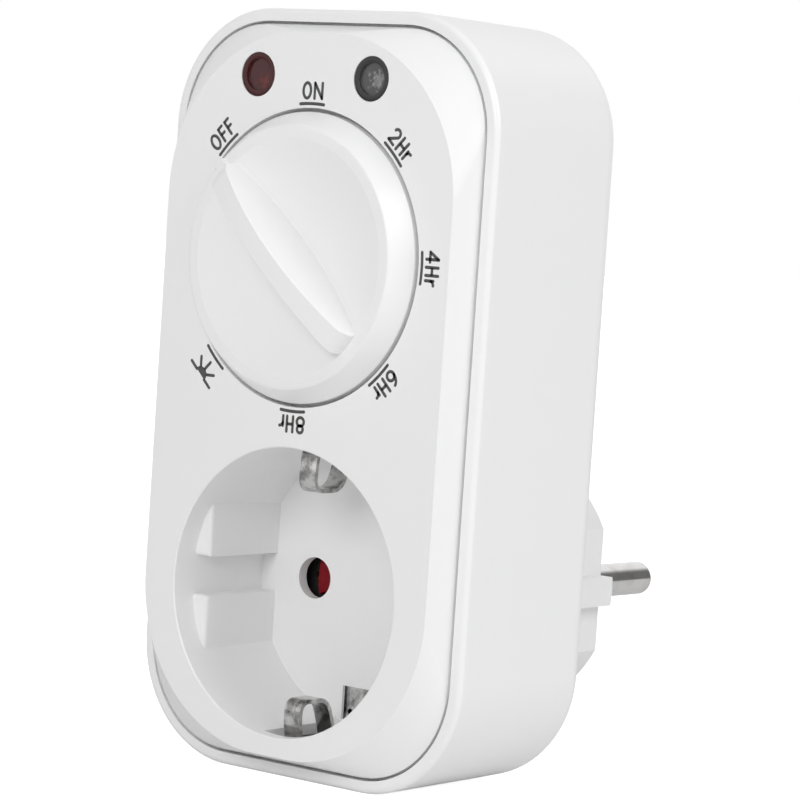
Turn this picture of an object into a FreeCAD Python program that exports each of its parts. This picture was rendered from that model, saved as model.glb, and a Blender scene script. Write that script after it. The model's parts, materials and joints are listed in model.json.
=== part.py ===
import FreeCAD, Part
import math
import os

from FreeCAD import Vector as V

os.makedirs("parts", exist_ok=True)

# Plug in timer switch: a case with a plug on its back, a socket in its front and a dial above it.
# X runs right, Y runs from the front to the wall, Z runs up, all in millimetres.
# The origin is on the plug's axis, in the case's flat back face.

# Case and front cover
case_half_width = 28.3
case_top = 78.2
case_bottom = -25.5
case_corner = 16.2
case_spare_depth = 0.3
case_taper = 0.4
case_wall = 2.4
case_back_wall = 2.0
case_back_round = 3.0
case_front_round = 0.8
rim_width = 1.75
seam_gap = 0.4
seat_depth = 2.0
cover_rise = 4.1
cover_bevel = 1.2
cover_face_corner = 22.0
cover_wall = 2.0
skirt_wall = 1.8

# Plug on the back
plug_radius = 18.35
plug_flat = 16.15
plug_length = 18.9
plug_end_wall = 2.5
plug_side_wall = 2.2
plug_edge_round = 0.7
tongue_half_width = 2.05
pin_radius = 2.4
pin_length = 19.0
pin_spacing = 19.0
pin_tip_round = 1.1
pin_shoulder_radius = 2.7
pin_shoulder_proud = 0.3
pin_flange_radius = 3.4
pin_flange_thickness = 1.8
pin_tail_radius = 1.5
pin_tail_length = 4.1
pin_fit = 0.03
retainer_thickness = 1.8
retainer_gap = 0.15
retainer_rim = 0.75
retainer_lap = 1.2
retainer_bridge_half = 4.0
pin_tail_gap = 0.05

# Socket in the front
socket_radius = 19.5
socket_draft = 0.25
socket_depth = 18.0
socket_wall = 1.3
socket_floor = 1.6
socket_mouth_round = 0.15
guide_flat = 16.6
guide_setback = 3.7
guide_slot_half = 2.7
guide_round = 0.6
pin_hole_radius = 2.9
window_half_width = 3.1
window_inner = 14.2
window_outer = 18.9
window_ledge = 0.5
clip_slot_half = 3.1
clip_slot_spare = 1.4

# Earth straps
strap_half_width = 1.4
strap_thickness = 0.6
strap_run = 21.5
strap_plug_run = 17.4
clip_front = 4.2
clip_back = 11.6
clip_leg = 3.5
clip_lean = 2.0
upper_clip_reach = 13.7
lower_clip_reach = 14.95
strap_tip_lap = 1.1
strap_tab_half_width = 3.6
strap_tab_lap = 0.4
strap_tab_gap = 0.3
strap_step_back = 5.0
strap_share = 0.42
strap_corner = 6
tight_share = 0.12
strap_groove_gap = 0.6
strap_groove_depth = 2.2
strap_tail = 15.4
strap_tail_room = 1.2
strap_room_gap = 0.6
link_half_width = 2.5
link_thickness = 0.8
strap_hole_radius = 0.4
strap_hole_x = -2.2
strap_hole_inset = 1.1

# Dial
dial_height = 44.9
dial_radius = 19.4
dial_gap = 0.55
dial_rim_radius = 17.5
dial_rim_rise = 3.3
dial_dish_radius = 15.9
dial_dish_depth = 2.4
dial_wall = 1.6
dial_flange_lip = 1.0
dial_flange_thickness = 0.9
dial_rim_wall = 1.8
dial_running_gap = 0.3
dial_rim_round = 0.5
dial_foot_rise = 0.2
dial_pointer_angle = 135.0
knob_twist = 2.0
grip_half_length = 15.8
grip_half_width = 1.27
grip_draft = 0.155
grip_peak_rise = 4.8
grip_end_rise = 2.1
grip_end_round = 2.6
grip_corner_round = 0.5
nub_half_width = 0.75
nub_rise = 0.4
nub_root = 1.2
nub_overhang = 0.1
nub_length = 1.6
hub_radius = 4.6
hub_wall_gap = 1.0
dial_steps = 8

# Rotary switch behind the dial
switch_radius = 9.5
switch_wall = 1.2
switch_floor = 1.0
switch_cover_thickness = 1.0
switch_height = 5.8
shaft_radius = 2.9
shaft_flat = 2.0
shaft_fit = 0.05
shaft_depth_in_hub = 2.6
shaft_press = 0.02
shaft_pivot_radius = 1.2
shaft_pivot_room = 0.4
shaft_end_gap = 0.2
shaft_floor_gap = 0.4
rotor_radius = 6.2
rotor_thickness = 2.0
rotor_gap = 0.5
notch_radius = 0.95
notch_bite = 0.35
ball_radius = 0.8
ball_gap = 0.06
barrel_half = 1.9
barrel_length = 4.2
barrel_bore = 1.1
barrel_end_wall = 1.0
spring_wire = 0.16
spring_radius = 0.75
spring_turns = 5
contact_ring = 4.6
contact_pad_radius = 0.7
contact_pad_thickness = 0.3
contact_pin_radius = 0.35
hole_clearance = 0.1
wiper_half_width = 0.6
wiper_thickness = 0.3
wiper_ring_width = 1.2
wiper_arm_lap = 0.6
wiper_gap = 0.05

# Indicator and light sensor
window_offset = 9.9
window_height = 69.0
window_radius = 3.0
lens_gap = 0.05
lens_setback = 0.1
lens_flange = 0.9
lens_flange_thickness = 0.8
lens_dish_radius = 2.15
lens_dish_depth = 0.4
led_radius = 1.5
led_length = 4.4
led_gap = 0.6
led_foot_lip = 0.3
led_foot_thickness = 0.8
sensor_radius = 2.5
sensor_thickness = 1.8
lead_radius = 0.25
lead_pitch = 1.27
lead_end = 0.8
lead_root = 0.2
stout_lead_radius = 0.35

# Control board
board_front_gap = 12.6
board_thickness = 1.6
board_half_width = 23.6
board_bottom = 23.4
board_top = 73.6
board_corner_cut = 8.2
board_corner_drop = 3.6
post_x = 21.6
post_low = 27.6
post_high = 57.4
post_radius = 2.1
board_screw_radius = 1.1
board_screw_head = 2.1
board_screw_head_height = 1.2
board_screw_length = 6.0
board_slot_half_width = 0.25
board_slot_depth = 0.5

# Case screws
boss_x = 20.8
boss_high = 66.5
boss_low = -14.5
boss_radius = 2.7
well_radius = 4.1
screw_radius = 1.4
screw_head_radius = 2.8
screw_head_height = 1.8
screw_length = 16.0
screw_head_gap = 0.25
screw_well_depth = 4.2
screw_shank_gap = 0.15
screw_cross_half_length = 1.68
screw_cross_half_width = 0.3
screw_cross_depth = 1.0
screw_thread_room = 2.0
boss_split = 14.0

# Relay
relay_x = -6.5
relay_z = 58.0
relay_width = 19.0
relay_breadth = 15.3
relay_height = 15.2
relay_wall = 0.8
relay_base_height = 2.0
relay_back_gap = 0.3
bobbin_length = 12.0
bobbin_seat_gap = 0.3
bobbin_tube_wall = 0.8
bobbin_foot_half_width = 1.5
bobbin_foot_lap = 0.1
winding_setback = 0.6
coil_end_gap = 1.4
pole_thickness = 0.6
pole_lip = 1.2
yoke_gap = 0.35
yoke_drop = 3.0
armature_play = 0.35
armature_half_width = 2.8
leaf_half_width = 2.0
leaf_setback = 1.0
contact_post_half_width = 1.6
contact_post_lap = 0.8
contact_post_thickness = 0.25
relay_base_gap = 0.05
bobbin_cheek = 0.8
core_radius = 1.6
yoke_thickness = 1.0
yoke_half_width = 3.4
armature_thickness = 1.0
armature_lift = 0.75
armature_turn = 4.2
hinge_gap = 0.15
contact_leaf_thickness = 0.3
contact_button_radius = 1.0
contact_button_thickness = 0.7
fixed_button_thickness = 0.35
contact_spare_gap = 0.08

# Small components on the board
dropper_size = (13.0, 12.0, 6.4)
dropper_place = (11.0, 59.4)
smoother_radius = 4.0
smoother_length = 11.5
smoother_place = (15.5, 50.6)
fuse_radius = 2.2
fuse_length = 8.6
fuse_place = (14.5, 43.4)
varistor_radius = 4.4
varistor_thickness = 3.4
varistor_place = (-13.5, 45.2)
chip_size = (9.8, 3.3, 6.4)
chip_place = (-1.0, 36.0)
chip_legs = 4
chip_leg_pitch = 2.54
diode_radius = 1.1
diode_length = 4.4
diode_count = 4
diode_place = (-14.0, 29.4)
diode_pitch = 3.0
resistor_radius = 1.2
resistor_length = 6.3
resistor_count = 3
resistor_place = (16.0, 32.8)
resistor_pitch = 3.0
transistor_radius = 2.3
transistor_height = 4.6
transistor_place = (-20.4, 36.5)

# Socket contacts and shutter
shutter_radius = 13.4
shutter_thickness = 1.8
shutter_gap = 0.2
shutter_turn = 32.0
shutter_stud_radius = 1.9
shutter_stud_fit = 0.05
shutter_hole_gap = 0.35
shutter_lobe_radius = 10.3
shutter_spring_radius = 2.9
shutter_spring_wire = 0.3
shutter_spring_turns = 3
carrier_half_width = 15.2
carrier_half_height = 7.2
carrier_thickness = 6.4
carrier_plate = 1.4
carrier_back_gap = 1.5
carrier_ring = 1.6
carrier_foot_x = 17.6
carrier_foot_radius = 1.6
receptacle_radius = 2.95
receptacle_bore = 2.42
receptacle_length = 15.0
receptacle_slot = 0.7
receptacle_collar = 0.6
solder_tab_height = 0.7
solder_tab_half = 1.3
solder_tab_offset = 2.7
link_bar_half_width = 1.8
link_bar_half_thickness = 0.4
wire_radius = 1.0

# Places worked out from the sizes above
back_y = 0.0
socket_stack = socket_depth + socket_floor + 2 * shutter_gap + shutter_thickness + carrier_thickness
board_stack = board_front_gap + board_thickness + relay_height
deeper_stack = max(socket_stack + carrier_back_gap, board_stack + relay_back_gap)
case_depth = deeper_stack + case_spare_depth + case_back_wall - cover_rise
rim_y = -case_depth
face_y = rim_y - cover_rise
inner_face_y = face_y + cover_wall
cover_half_width = case_half_width - rim_width - seam_gap
cover_corner = case_corner - rim_width - seam_gap
floor_y = face_y + socket_depth
floor_back_y = floor_y + socket_floor
well_radius_out = socket_radius + socket_wall
board_front_y = face_y + board_front_gap
board_back_y = board_front_y + board_thickness
pin_x = pin_spacing / 2
plug_inner_y = plug_length - plug_end_wall
shutter_y = floor_back_y + shutter_gap
carrier_y = shutter_y + shutter_thickness + shutter_gap
rim_front_y = face_y - dial_rim_rise
dish_bottom_y = rim_front_y + dial_dish_depth
hub_end_y = board_front_y - switch_height - hub_wall_gap
switch_front_y = board_front_y - switch_height
strap_tab_y = floor_y + window_ledge + strap_tab_gap + strap_thickness / 2
relay_inner_height = relay_height - relay_wall - relay_base_height
bobbin_flange = (relay_inner_height - bobbin_seat_gap - yoke_gap - yoke_thickness - armature_play) / 2
contact_drop = bobbin_flange - contact_button_radius


def box(x0, x1, y0, y1, z0, z1):
    return Part.makeBox(x1 - x0, y1 - y0, z1 - z0, V(x0, y0, z0))


def rod(radius, y0, y1, x=0.0, z=0.0):
    return Part.makeCylinder(radius, y1 - y0, V(x, y0, z), V(0, 1, 0))


def cone(radius0, radius1, y0, y1, x=0.0, z=0.0):
    return Part.makeCone(radius0, radius1, y1 - y0, V(x, y0, z), V(0, 1, 0))


def join(shapes):
    whole = shapes[0]
    for piece in shapes[1:]:
        whole = whole.fuse(piece)
    return whole.removeSplitter()


def cut(shape, tools):
    for tool in tools:
        shape = shape.cut(tool)
    return shape


def outline(half_width, top, bottom, radius, y):
    # A rectangle with round corners in a plane across Y.
    edges = []
    corners = [
        (half_width - radius, top - radius, 0),
        (radius - half_width, top - radius, 90),
        (radius - half_width, bottom + radius, 180),
        (half_width - radius, bottom + radius, 270),
    ]
    points = []
    for cx, cz, start in corners:
        arc = []
        for step in (0, 45, 90):
            a = math.radians(start + step)
            arc.append(V(cx + radius * math.cos(a), y, cz + radius * math.sin(a)))
        points.append(arc)
    for i, arc in enumerate(points):
        edges.append(Part.Arc(arc[0], arc[1], arc[2]).toShape())
        nxt = points[(i + 1) % 4][0]
        edges.append(Part.LineSegment(arc[2], nxt).toShape())
    return Part.Wire(edges)


def prism(wire, length):
    return Part.Face(wire).extrude(V(0, length, 0))


def lathe(points, x=0.0, z=0.0):
    # Points are (radius, y); the closed profile turns about the Y axis through x, z.
    corners = [V(x + r, y, z) for r, y in points]
    wire = Part.makePolygon(corners + [corners[0]])
    return Part.Face(wire).revolve(V(x, 0, z), V(0, 1, 0), 360)


def round_edges(shape, radius, wanted):
    chosen = [edge for edge in shape.Edges if wanted(edge)]
    return shape.makeFillet(radius, chosen)


def lies_at(y, tolerance=0.001):
    def wanted(edge):
        bounds = edge.BoundBox
        return abs(bounds.YMin - y) < tolerance and abs(bounds.YMax - y) < tolerance
    return wanted


def rounded_route(points, share=0.45, tight=()):
    # Straight runs joined by tangent arcs as large as the two runs allow; a tight corner takes less.
    edges = []
    radii = []
    start = points[0]
    for i in range(1, len(points) - 1):
        a = points[i - 1]
        b = points[i]
        c = points[i + 1]
        into = (b - a).normalize()
        out = (c - b).normalize()
        half_turn = into.getAngle(out) / 2
        reach = (tight_share if i in tight else share) * min((b - a).Length, (c - b).Length)
        first = b - into * reach
        last = b + out * reach
        radius = reach / math.tan(half_turn)
        radii.append(round(radius, 2))
        toward = (out - into).normalize()
        middle = b + toward * (radius / math.cos(half_turn) - radius)
        edges.append(Part.LineSegment(start, first).toShape())
        edges.append(Part.Arc(first, middle, last).toShape())
        start = last
    edges.append(Part.LineSegment(start, points[-1]).toShape())
    return Part.Wire(edges), radii


def tube(wire, radius, start, direction):
    ring = Part.Wire(Part.makeCircle(radius, start, direction))
    return wire.makePipeShell([ring], True, True)


def biarc(p0, t0, p1, t1):
    # Two arcs that meet with one tangent, from p0 along t0 to p1 along t1.
    chord = p1 - p0
    turn = t0 + t1
    a = 2 * (1 - t0.dot(t1))
    b = 2 * chord.dot(turn)
    reach = (math.sqrt(b * b + 4 * a * chord.dot(chord)) - b) / (2 * a)
    q0 = p0 + t0 * reach
    q1 = p1 - t1 * reach
    meet = (q0 + q1) * 0.5
    arcs = []
    for start, corner, end in ((p0, q0, meet), (meet, q1, p1)):
        into = (corner - start).normalize()
        out = (end - corner).normalize()
        half_turn = into.getAngle(out) / 2
        radius = reach / math.tan(half_turn)
        toward = (out - into).normalize()
        middle = corner + toward * (radius / math.cos(half_turn) - radius)
        arcs.append(Part.Arc(start, middle, end).toShape())
    return arcs


def coil(radius, wire, turns, length, base, axis, across):
    # One unbroken round wire that climbs along axis in quarter turns.
    side = axis.cross(across)
    steps = turns * 4
    rise = length / (2 * math.pi * turns)
    points = []
    tangents = []
    for i in range(steps + 1):
        a = i * math.pi / 2
        outward = across * math.cos(a) + side * math.sin(a)
        points.append(base + outward * radius + axis * (rise * a))
        along = (side * math.cos(a) - across * math.sin(a)) * radius + axis * rise
        tangents.append(along.normalize())
    edges = []
    for i in range(steps):
        edges += biarc(points[i], tangents[i], points[i + 1], tangents[i + 1])
    ring = Part.Wire(Part.makeCircle(wire, points[0], tangents[0]))
    return Part.Wire(edges).makePipeShell([ring], True, True)


def plug_section(radius, flat, tongue, y):
    # A disc with a flat on each side; a tongue keeps the middle of each flat round.
    edges = []
    rise = math.sqrt(radius * radius - flat * flat)
    tip = math.sqrt(radius * radius - tongue * tongue)
    for side in (1, -1):
        s = side
        top = V(s * flat, y, s * rise)
        inner_top = V(s * flat, y, s * tongue)
        outer_top = V(s * tip, y, s * tongue)
        outer_low = V(s * tip, y, -s * tongue)
        inner_low = V(s * flat, y, -s * tongue)
        low = V(s * flat, y, -s * rise)
        edges.append(Part.LineSegment(top, inner_top).toShape())
        edges.append(Part.LineSegment(inner_top, outer_top).toShape())
        edges.append(Part.Arc(outer_top, V(s * radius, y, 0), outer_low).toShape())
        edges.append(Part.LineSegment(outer_low, inner_low).toShape())
        edges.append(Part.LineSegment(inner_low, low).toShape())
        across = V(-s * flat, y, -s * rise)
        edges.append(Part.Arc(low, V(0, y, -s * radius), across).toShape())
    return Part.Wire(edges)


def guide_front_edge(edge):
    bounds = edge.BoundBox
    guide_y = face_y + guide_setback
    straight = isinstance(edge.Curve, Part.Line)
    return straight and abs(bounds.YMin - guide_y) < 0.001 and abs(bounds.YMax - guide_y) < 0.001


def screw_places():
    return [(s * boss_x, z) for s in (1, -1) for z in (boss_high, boss_low)]


def post_places():
    return [(s * post_x, z) for s in (1, -1) for z in (post_low, post_high)]


def make_front_cover():
    top = case_top - rim_width - seam_gap
    bottom = case_bottom + rim_width + seam_gap
    low = outline(cover_half_width, top, bottom, cover_corner, rim_y)
    face_half = cover_half_width - cover_bevel
    high = outline(face_half, top - cover_bevel, bottom + cover_bevel, cover_face_corner, face_y)
    shell = Part.makeLoft([low, high], True, True)
    skirt = prism(low, seat_depth)
    solid = shell.fuse(skirt)
    in_half = cover_half_width - skirt_wall
    in_corner = cover_corner - skirt_wall
    in_low = outline(in_half, top - skirt_wall, bottom + skirt_wall, in_corner, rim_y)
    in_face_half = face_half - skirt_wall
    drop = cover_bevel + skirt_wall
    in_face_corner = cover_face_corner - skirt_wall
    in_high = outline(in_face_half, top - drop, bottom + drop, in_face_corner, inner_face_y)
    hollow = Part.makeLoft([in_low, in_high], True, True).fuse(prism(in_low, seat_depth))
    cover = solid.cut(hollow)
    pads = []
    for x, z in screw_places():
        pads.append(rod(boss_radius, face_y, -boss_split, x, z))
    for x, z in post_places():
        pads.append(rod(post_radius, face_y, board_front_y, x, z))
    pads.append(rod(well_radius_out, face_y + socket_mouth_round, floor_back_y))
    keep = solid.fuse(prism(in_low, socket_depth + case_depth))
    for pad in pads:
        cover = cover.fuse(pad.common(keep))
    draft = socket_radius - socket_draft
    mouth = cone(socket_radius, draft, face_y, floor_y)
    lip_out = socket_radius + socket_mouth_round
    lip = lathe([(0, face_y - 1), (lip_out, face_y - 1), (lip_out, face_y),
                 (socket_radius, face_y + socket_mouth_round), (0, face_y + socket_mouth_round)])
    cover = cut(cover, [mouth, lip])
    guide_y = face_y + guide_setback
    disc = rod(socket_radius + socket_wall / 2, guide_y, floor_y)
    between = box(-guide_flat, guide_flat, guide_y - 1, floor_y + 1, -socket_radius, socket_radius)
    slot = box(-socket_radius, socket_radius, guide_y - 1, floor_y + 1, -guide_slot_half, guide_slot_half)
    slot = slot.common(cone(socket_radius, draft, face_y, floor_y))
    guides = disc.cut(between).cut(slot)
    guides = round_edges(guides, guide_round, guide_front_edge)
    cover = cover.fuse(guides)
    holes = [rod(dial_radius + dial_gap, face_y - 1, inner_face_y + 1, 0, dial_height)]
    for side in (1, -1):
        holes.append(rod(window_radius, face_y - 1, inner_face_y + 1, side * window_offset, window_height))
        pocket = window_radius - lens_gap + lens_flange + hole_clearance
        holes.append(rod(pocket, inner_face_y, inner_face_y + 3, side * window_offset, window_height))
        holes.append(rod(pin_hole_radius, floor_y - 1, floor_back_y + 1, side * pin_x, 0))
        near = min(side * window_inner, side * window_outer)
        far = max(side * window_inner, side * window_outer)
        holes.append(box(-window_half_width, window_half_width, floor_y - 1, floor_back_y + 1, near, far))
        near = min(side * upper_clip_reach, side * (well_radius_out + 1))
        far = max(side * upper_clip_reach, side * (well_radius_out + 1))
        holes.append(box(-clip_slot_half, clip_slot_half, inner_face_y,
                         face_y + clip_back + clip_slot_spare, near, far))
        half = strap_tab_half_width + strap_tab_gap
        inner = window_inner - strap_tab_lap - strap_tab_gap
        near = min(side * inner, side * (well_radius_out + 1))
        far = max(side * inner, side * (well_radius_out + 1))
        holes.append(box(-half, half, floor_y + window_ledge, floor_back_y + 1, near, far))
    for x, z in screw_places():
        holes.append(rod(screw_radius, -screw_length - 4, -boss_split + 1, x, z))
    for x, z in post_places():
        holes.append(rod(board_screw_radius, board_back_y - board_screw_length, board_front_y + 1, x, z))
    cover = cut(cover, holes)
    stud = rod(shutter_stud_radius, floor_back_y - 0.5, carrier_y)
    return cover.fuse(stud).removeSplitter()


def make_rear_case():
    rim = outline(case_half_width, case_top, case_bottom, case_corner, rim_y)
    t = case_taper
    back = outline(case_half_width - t, case_top - t, case_bottom + t, case_corner - t, back_y)
    tub = Part.makeLoft([rim, back], True, True)
    tub = round_edges(tub, case_back_round, lies_at(back_y))
    tub = round_edges(tub, case_front_round, lies_at(rim_y))
    w = case_wall
    in_half = case_half_width - w
    seat = outline(in_half, case_top - w, case_bottom + w, case_corner - w, rim_y - 1)
    hollow = prism(seat, case_depth + 1 - case_back_wall)
    r = rim_width
    mouth_half = case_half_width - r
    mouth = outline(mouth_half, case_top - r, case_bottom + r, case_corner - r, rim_y - 1)
    hollow = hollow.fuse(prism(mouth, seat_depth + 1))
    body = tub.cut(hollow)
    plug = prism(plug_section(plug_radius, plug_flat, tongue_half_width, -case_back_wall),
                 plug_length + case_back_wall)
    plug = round_edges(plug, plug_edge_round, lies_at(plug_length))
    body = body.fuse(plug)
    for x, z in screw_places():
        body = body.fuse(rod(well_radius, -boss_split, back_y - 1, x, z).common(tub))
    room_radius = plug_radius - plug_side_wall - strap_groove_depth + retainer_lap
    room_half = plug_flat - plug_side_wall
    room = rod(room_radius, -case_back_wall - 1, plug_inner_y)
    room = room.common(box(-room_half, room_half, -case_back_wall - 1, plug_inner_y,
                           -plug_radius, plug_radius))
    body = body.cut(room)
    for side in (1, -1):
        hole_radius = pin_shoulder_radius + pin_fit
        body = body.cut(rod(hole_radius, plug_inner_y - 1, plug_length + 1, side * pin_x, 0))
        inner = plug_radius - strap_groove_depth
        near = min(side * inner, side * (plug_radius + 1))
        far = max(side * inner, side * (plug_radius + 1))
        half = strap_half_width + strap_groove_gap
        body = body.cut(box(-half, half, -case_back_wall - 1, strap_tail + strap_tail_room, near, far))
    for x, z in screw_places():
        shoulder_y = -screw_well_depth
        body = body.cut(rod(screw_head_radius + screw_head_gap, shoulder_y, back_y + 1, x, z))
        body = body.cut(rod(screw_radius + screw_shank_gap, -boss_split - 1, shoulder_y + 1, x, z))
    return body.removeSplitter()


def make_case_screws():
    screws = []
    head_y = -screw_well_depth
    for x, z in screw_places():
        head = rod(screw_head_radius, head_y, head_y + screw_head_height, x, z)
        shank = rod(screw_radius, head_y - screw_length + screw_thread_room, head_y, x, z)
        top_y = head_y + screw_head_height
        slot_y = top_y - screw_cross_depth
        long_half = screw_cross_half_length
        narrow_half = screw_cross_half_width
        slot = box(x - long_half, x + long_half, slot_y, top_y + 1, z - narrow_half, z + narrow_half)
        slot2 = box(x - narrow_half, x + narrow_half, slot_y, top_y + 1, z - long_half, z + long_half)
        screws.append(head.fuse(shank).cut(slot).cut(slot2))
    return screws


def make_dial_knob():
    back = inner_face_y + dial_running_gap + dial_flange_thickness
    flange_front = inner_face_y + dial_running_gap
    flange_radius = dial_radius + dial_gap + dial_flange_lip
    body = lathe([(0, rim_front_y), (dial_rim_radius, rim_front_y), (dial_radius, face_y - dial_foot_rise),
                  (dial_radius, flange_front), (flange_radius, flange_front),
                  (flange_radius, back), (0, back)], 0, dial_height)
    body = round_edges(body, dial_rim_round, lies_at(rim_front_y))
    sphere_radius = (dial_dish_radius ** 2 + dial_dish_depth ** 2) / (2 * dial_dish_depth)
    centre_y = dish_bottom_y - sphere_radius
    dish = Part.makeSphere(sphere_radius, V(0, centre_y, dial_height))
    room_front = rim_front_y + dial_rim_wall
    hollow = lathe([(0, room_front), (dial_rim_radius - dial_wall, room_front),
                    (dial_radius - dial_wall, face_y + dial_rim_wall), (dial_radius - dial_wall, back + 1),
                    (0, back + 1)], 0, dial_height)
    hollow = hollow.cut(Part.makeSphere(sphere_radius + dial_wall, V(0, centre_y, dial_height)))
    body = body.cut(dish).cut(hollow)
    under = rod(dial_dish_radius / 2, dish_bottom_y - 0.2, dish_bottom_y + dial_wall, 0, dial_height)
    body = body.fuse(under.cut(dish))
    body = body.fuse(make_grip())
    body = body.fuse(make_nub())
    body = body.fuse(rod(hub_radius, dish_bottom_y + dial_wall / 2, hub_end_y, 0, dial_height))
    bore = rod(shaft_radius + shaft_press, hub_end_y - shaft_depth_in_hub, hub_end_y + 1, 0, dial_height)
    key = box(-shaft_radius - 1, shaft_radius + 1, hub_end_y - shaft_depth_in_hub - 1, hub_end_y + 2,
              dial_height + shaft_flat + shaft_press, dial_height + shaft_radius + 1)
    return body.cut(bore.cut(key)).removeSplitter()


def dial_turned(shape, past=0.0):
    shape.rotate(V(0, 0, dial_height), V(0, 1, 0), 90.0 - dial_pointer_angle - past)
    return shape


def grip_plan(y):
    # A long rectangle in a plane across Y; its sides stand wider apart towards the foot.
    half = grip_half_width + grip_draft * (y - rim_front_y + grip_peak_rise)
    low = dial_height - grip_half_length
    high = dial_height + grip_half_length
    corners = [V(-half, y, high), V(-half, y, low), V(half, y, low), V(half, y, high)]
    return Part.makePolygon(corners + [corners[0]])


def grip_side():
    # The arched top seen from the side, rounded down at both ends.
    low = dial_height - grip_half_length
    high = dial_height + grip_half_length
    peak_y = rim_front_y - grip_peak_rise
    end_y = rim_front_y - grip_end_rise
    base_y = dish_bottom_y + dial_wall / 2
    wire = Part.Wire([
        Part.Arc(V(0, end_y, low), V(0, peak_y, dial_height), V(0, end_y, high)).toShape(),
        Part.LineSegment(V(0, end_y, high), V(0, base_y, high)).toShape(),
        Part.LineSegment(V(0, base_y, high), V(0, base_y, low)).toShape(),
        Part.LineSegment(V(0, base_y, low), V(0, end_y, low)).toShape(),
    ])
    reach_out = grip_half_width + grip_draft * (base_y - peak_y) + 1
    arch = Part.Face(wire).extrude(V(2 * reach_out, 0, 0))
    arch.translate(V(-reach_out, 0, 0))
    return round_edges(arch, grip_end_round, lies_at(end_y))


def make_grip():
    # The grip is drawn upright, with its pointer end on top, then turned to the pointer's angle.
    foot_y = dish_bottom_y + dial_wall
    peak_y = rim_front_y - grip_peak_rise
    blade = Part.makeLoft([grip_plan(foot_y), grip_plan(peak_y)], True, True)
    corners = [edge for edge in blade.Edges if edge.BoundBox.YLength > foot_y - peak_y - 0.01]
    blade = blade.makeFillet(grip_corner_round, corners)
    return dial_turned(blade.common(grip_side()), knob_twist)


def make_nub():
    z = dial_height + dial_rim_radius + nub_overhang
    nub = box(-nub_half_width, nub_half_width, rim_front_y - nub_rise, rim_front_y + nub_root,
              z - nub_length, z)
    return dial_turned(nub, knob_twist)


def make_switch_shaft():
    y0 = hub_end_y - shaft_depth_in_hub + shaft_end_gap
    y1 = board_front_y - switch_floor - shaft_floor_gap
    shaft = rod(shaft_radius, y0, y1, 0, dial_height)
    flat_end = hub_end_y + shaft_floor_gap
    shaft = shaft.cut(box(-shaft_radius, shaft_radius, y0 - 1, flat_end,
                          dial_height + shaft_flat, dial_height + shaft_radius + 1))
    return shaft.fuse(rod(shaft_pivot_radius, y1, board_front_y - shaft_end_gap, 0, dial_height))


def step_angles():
    first = math.radians(dial_pointer_angle)
    return [first - i * 2 * math.pi / dial_steps for i in range(dial_steps)]


def make_switch_rotor():
    y0 = switch_front_y + switch_cover_thickness + rotor_gap
    rotor = rod(rotor_radius, y0, y0 + rotor_thickness, 0, dial_height)
    rotor = rotor.cut(rod(shaft_radius + shaft_press, y0 - 1, y0 + 4, 0, dial_height))
    reach = rotor_radius + notch_radius - notch_bite
    for i in range(dial_steps):
        a = 2 * math.pi * i / dial_steps
        notch = rod(notch_radius, y0 - 1, y0 + 4, reach * math.cos(a), dial_height + reach * math.sin(a))
        rotor = rotor.cut(notch)
    return rotor


def make_switch_wiper():
    y0 = switch_front_y + switch_cover_thickness + rotor_gap + rotor_thickness
    ring = rod(shaft_radius + wiper_ring_width, y0, y0 + wiper_thickness, 0, dial_height)
    ring = ring.cut(rod(shaft_radius + shaft_press, y0 - 1, y0 + 1, 0, dial_height))
    pad_y = board_front_y - switch_floor - contact_pad_thickness
    reach = contact_ring
    arm = box(-wiper_half_width, wiper_half_width, y0, y0 + wiper_thickness,
              dial_height + shaft_radius + wiper_arm_lap, dial_height + reach + wiper_arm_lap)
    tip = rod(wiper_half_width, y0, pad_y - wiper_gap, 0, dial_height + reach)
    return dial_turned(join([ring, arm, tip]))


def make_switch_housing():
    y0 = switch_front_y + switch_cover_thickness
    cup = rod(switch_radius, y0, board_front_y, 0, dial_height)
    barrel = box(0, switch_radius + barrel_length, y0, board_front_y,
                 dial_height - barrel_half, dial_height + barrel_half)
    cup = cup.fuse(barrel)
    room = rod(switch_radius - switch_wall, y0 - 1, board_front_y - switch_floor, 0, dial_height)
    ball_y = switch_front_y + switch_cover_thickness + rotor_gap + rotor_thickness / 2
    bore = Part.makeCylinder(barrel_bore, switch_radius + barrel_length - barrel_end_wall,
                             V(0, ball_y, dial_height), V(1, 0, 0))
    cup = cup.cut(room).cut(bore)
    cup = cup.cut(rod(shaft_pivot_radius + shaft_fit, y0, board_front_y + 1, 0, dial_height))
    for a in step_angles():
        x = contact_ring * math.cos(a)
        z = dial_height + contact_ring * math.sin(a)
        cup = cup.cut(rod(contact_pin_radius + hole_clearance, y0, board_front_y + 1, x, z))
    return cup


def make_switch_cover():
    y1 = switch_front_y + switch_cover_thickness
    plate = rod(switch_radius, switch_front_y, y1, 0, dial_height)
    return plate.cut(rod(shaft_radius + shaft_fit, switch_front_y - 1, y1 + 1, 0, dial_height))


def make_switch_contacts():
    contacts = []
    y0 = board_front_y - switch_floor - contact_pad_thickness
    for a in step_angles():
        x = contact_ring * math.cos(a)
        z = dial_height + contact_ring * math.sin(a)
        pad = rod(contact_pad_radius, y0, y0 + contact_pad_thickness, x, z)
        contacts.append(pad.fuse(rod(contact_pin_radius, y0, board_back_y + lead_end, x, z)))
    return contacts


def ball_x():
    return rotor_radius + ball_radius + ball_gap


def make_detent_ball():
    y = switch_front_y + switch_cover_thickness + rotor_gap + rotor_thickness / 2
    return Part.makeSphere(ball_radius, V(ball_x(), y, dial_height))


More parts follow.
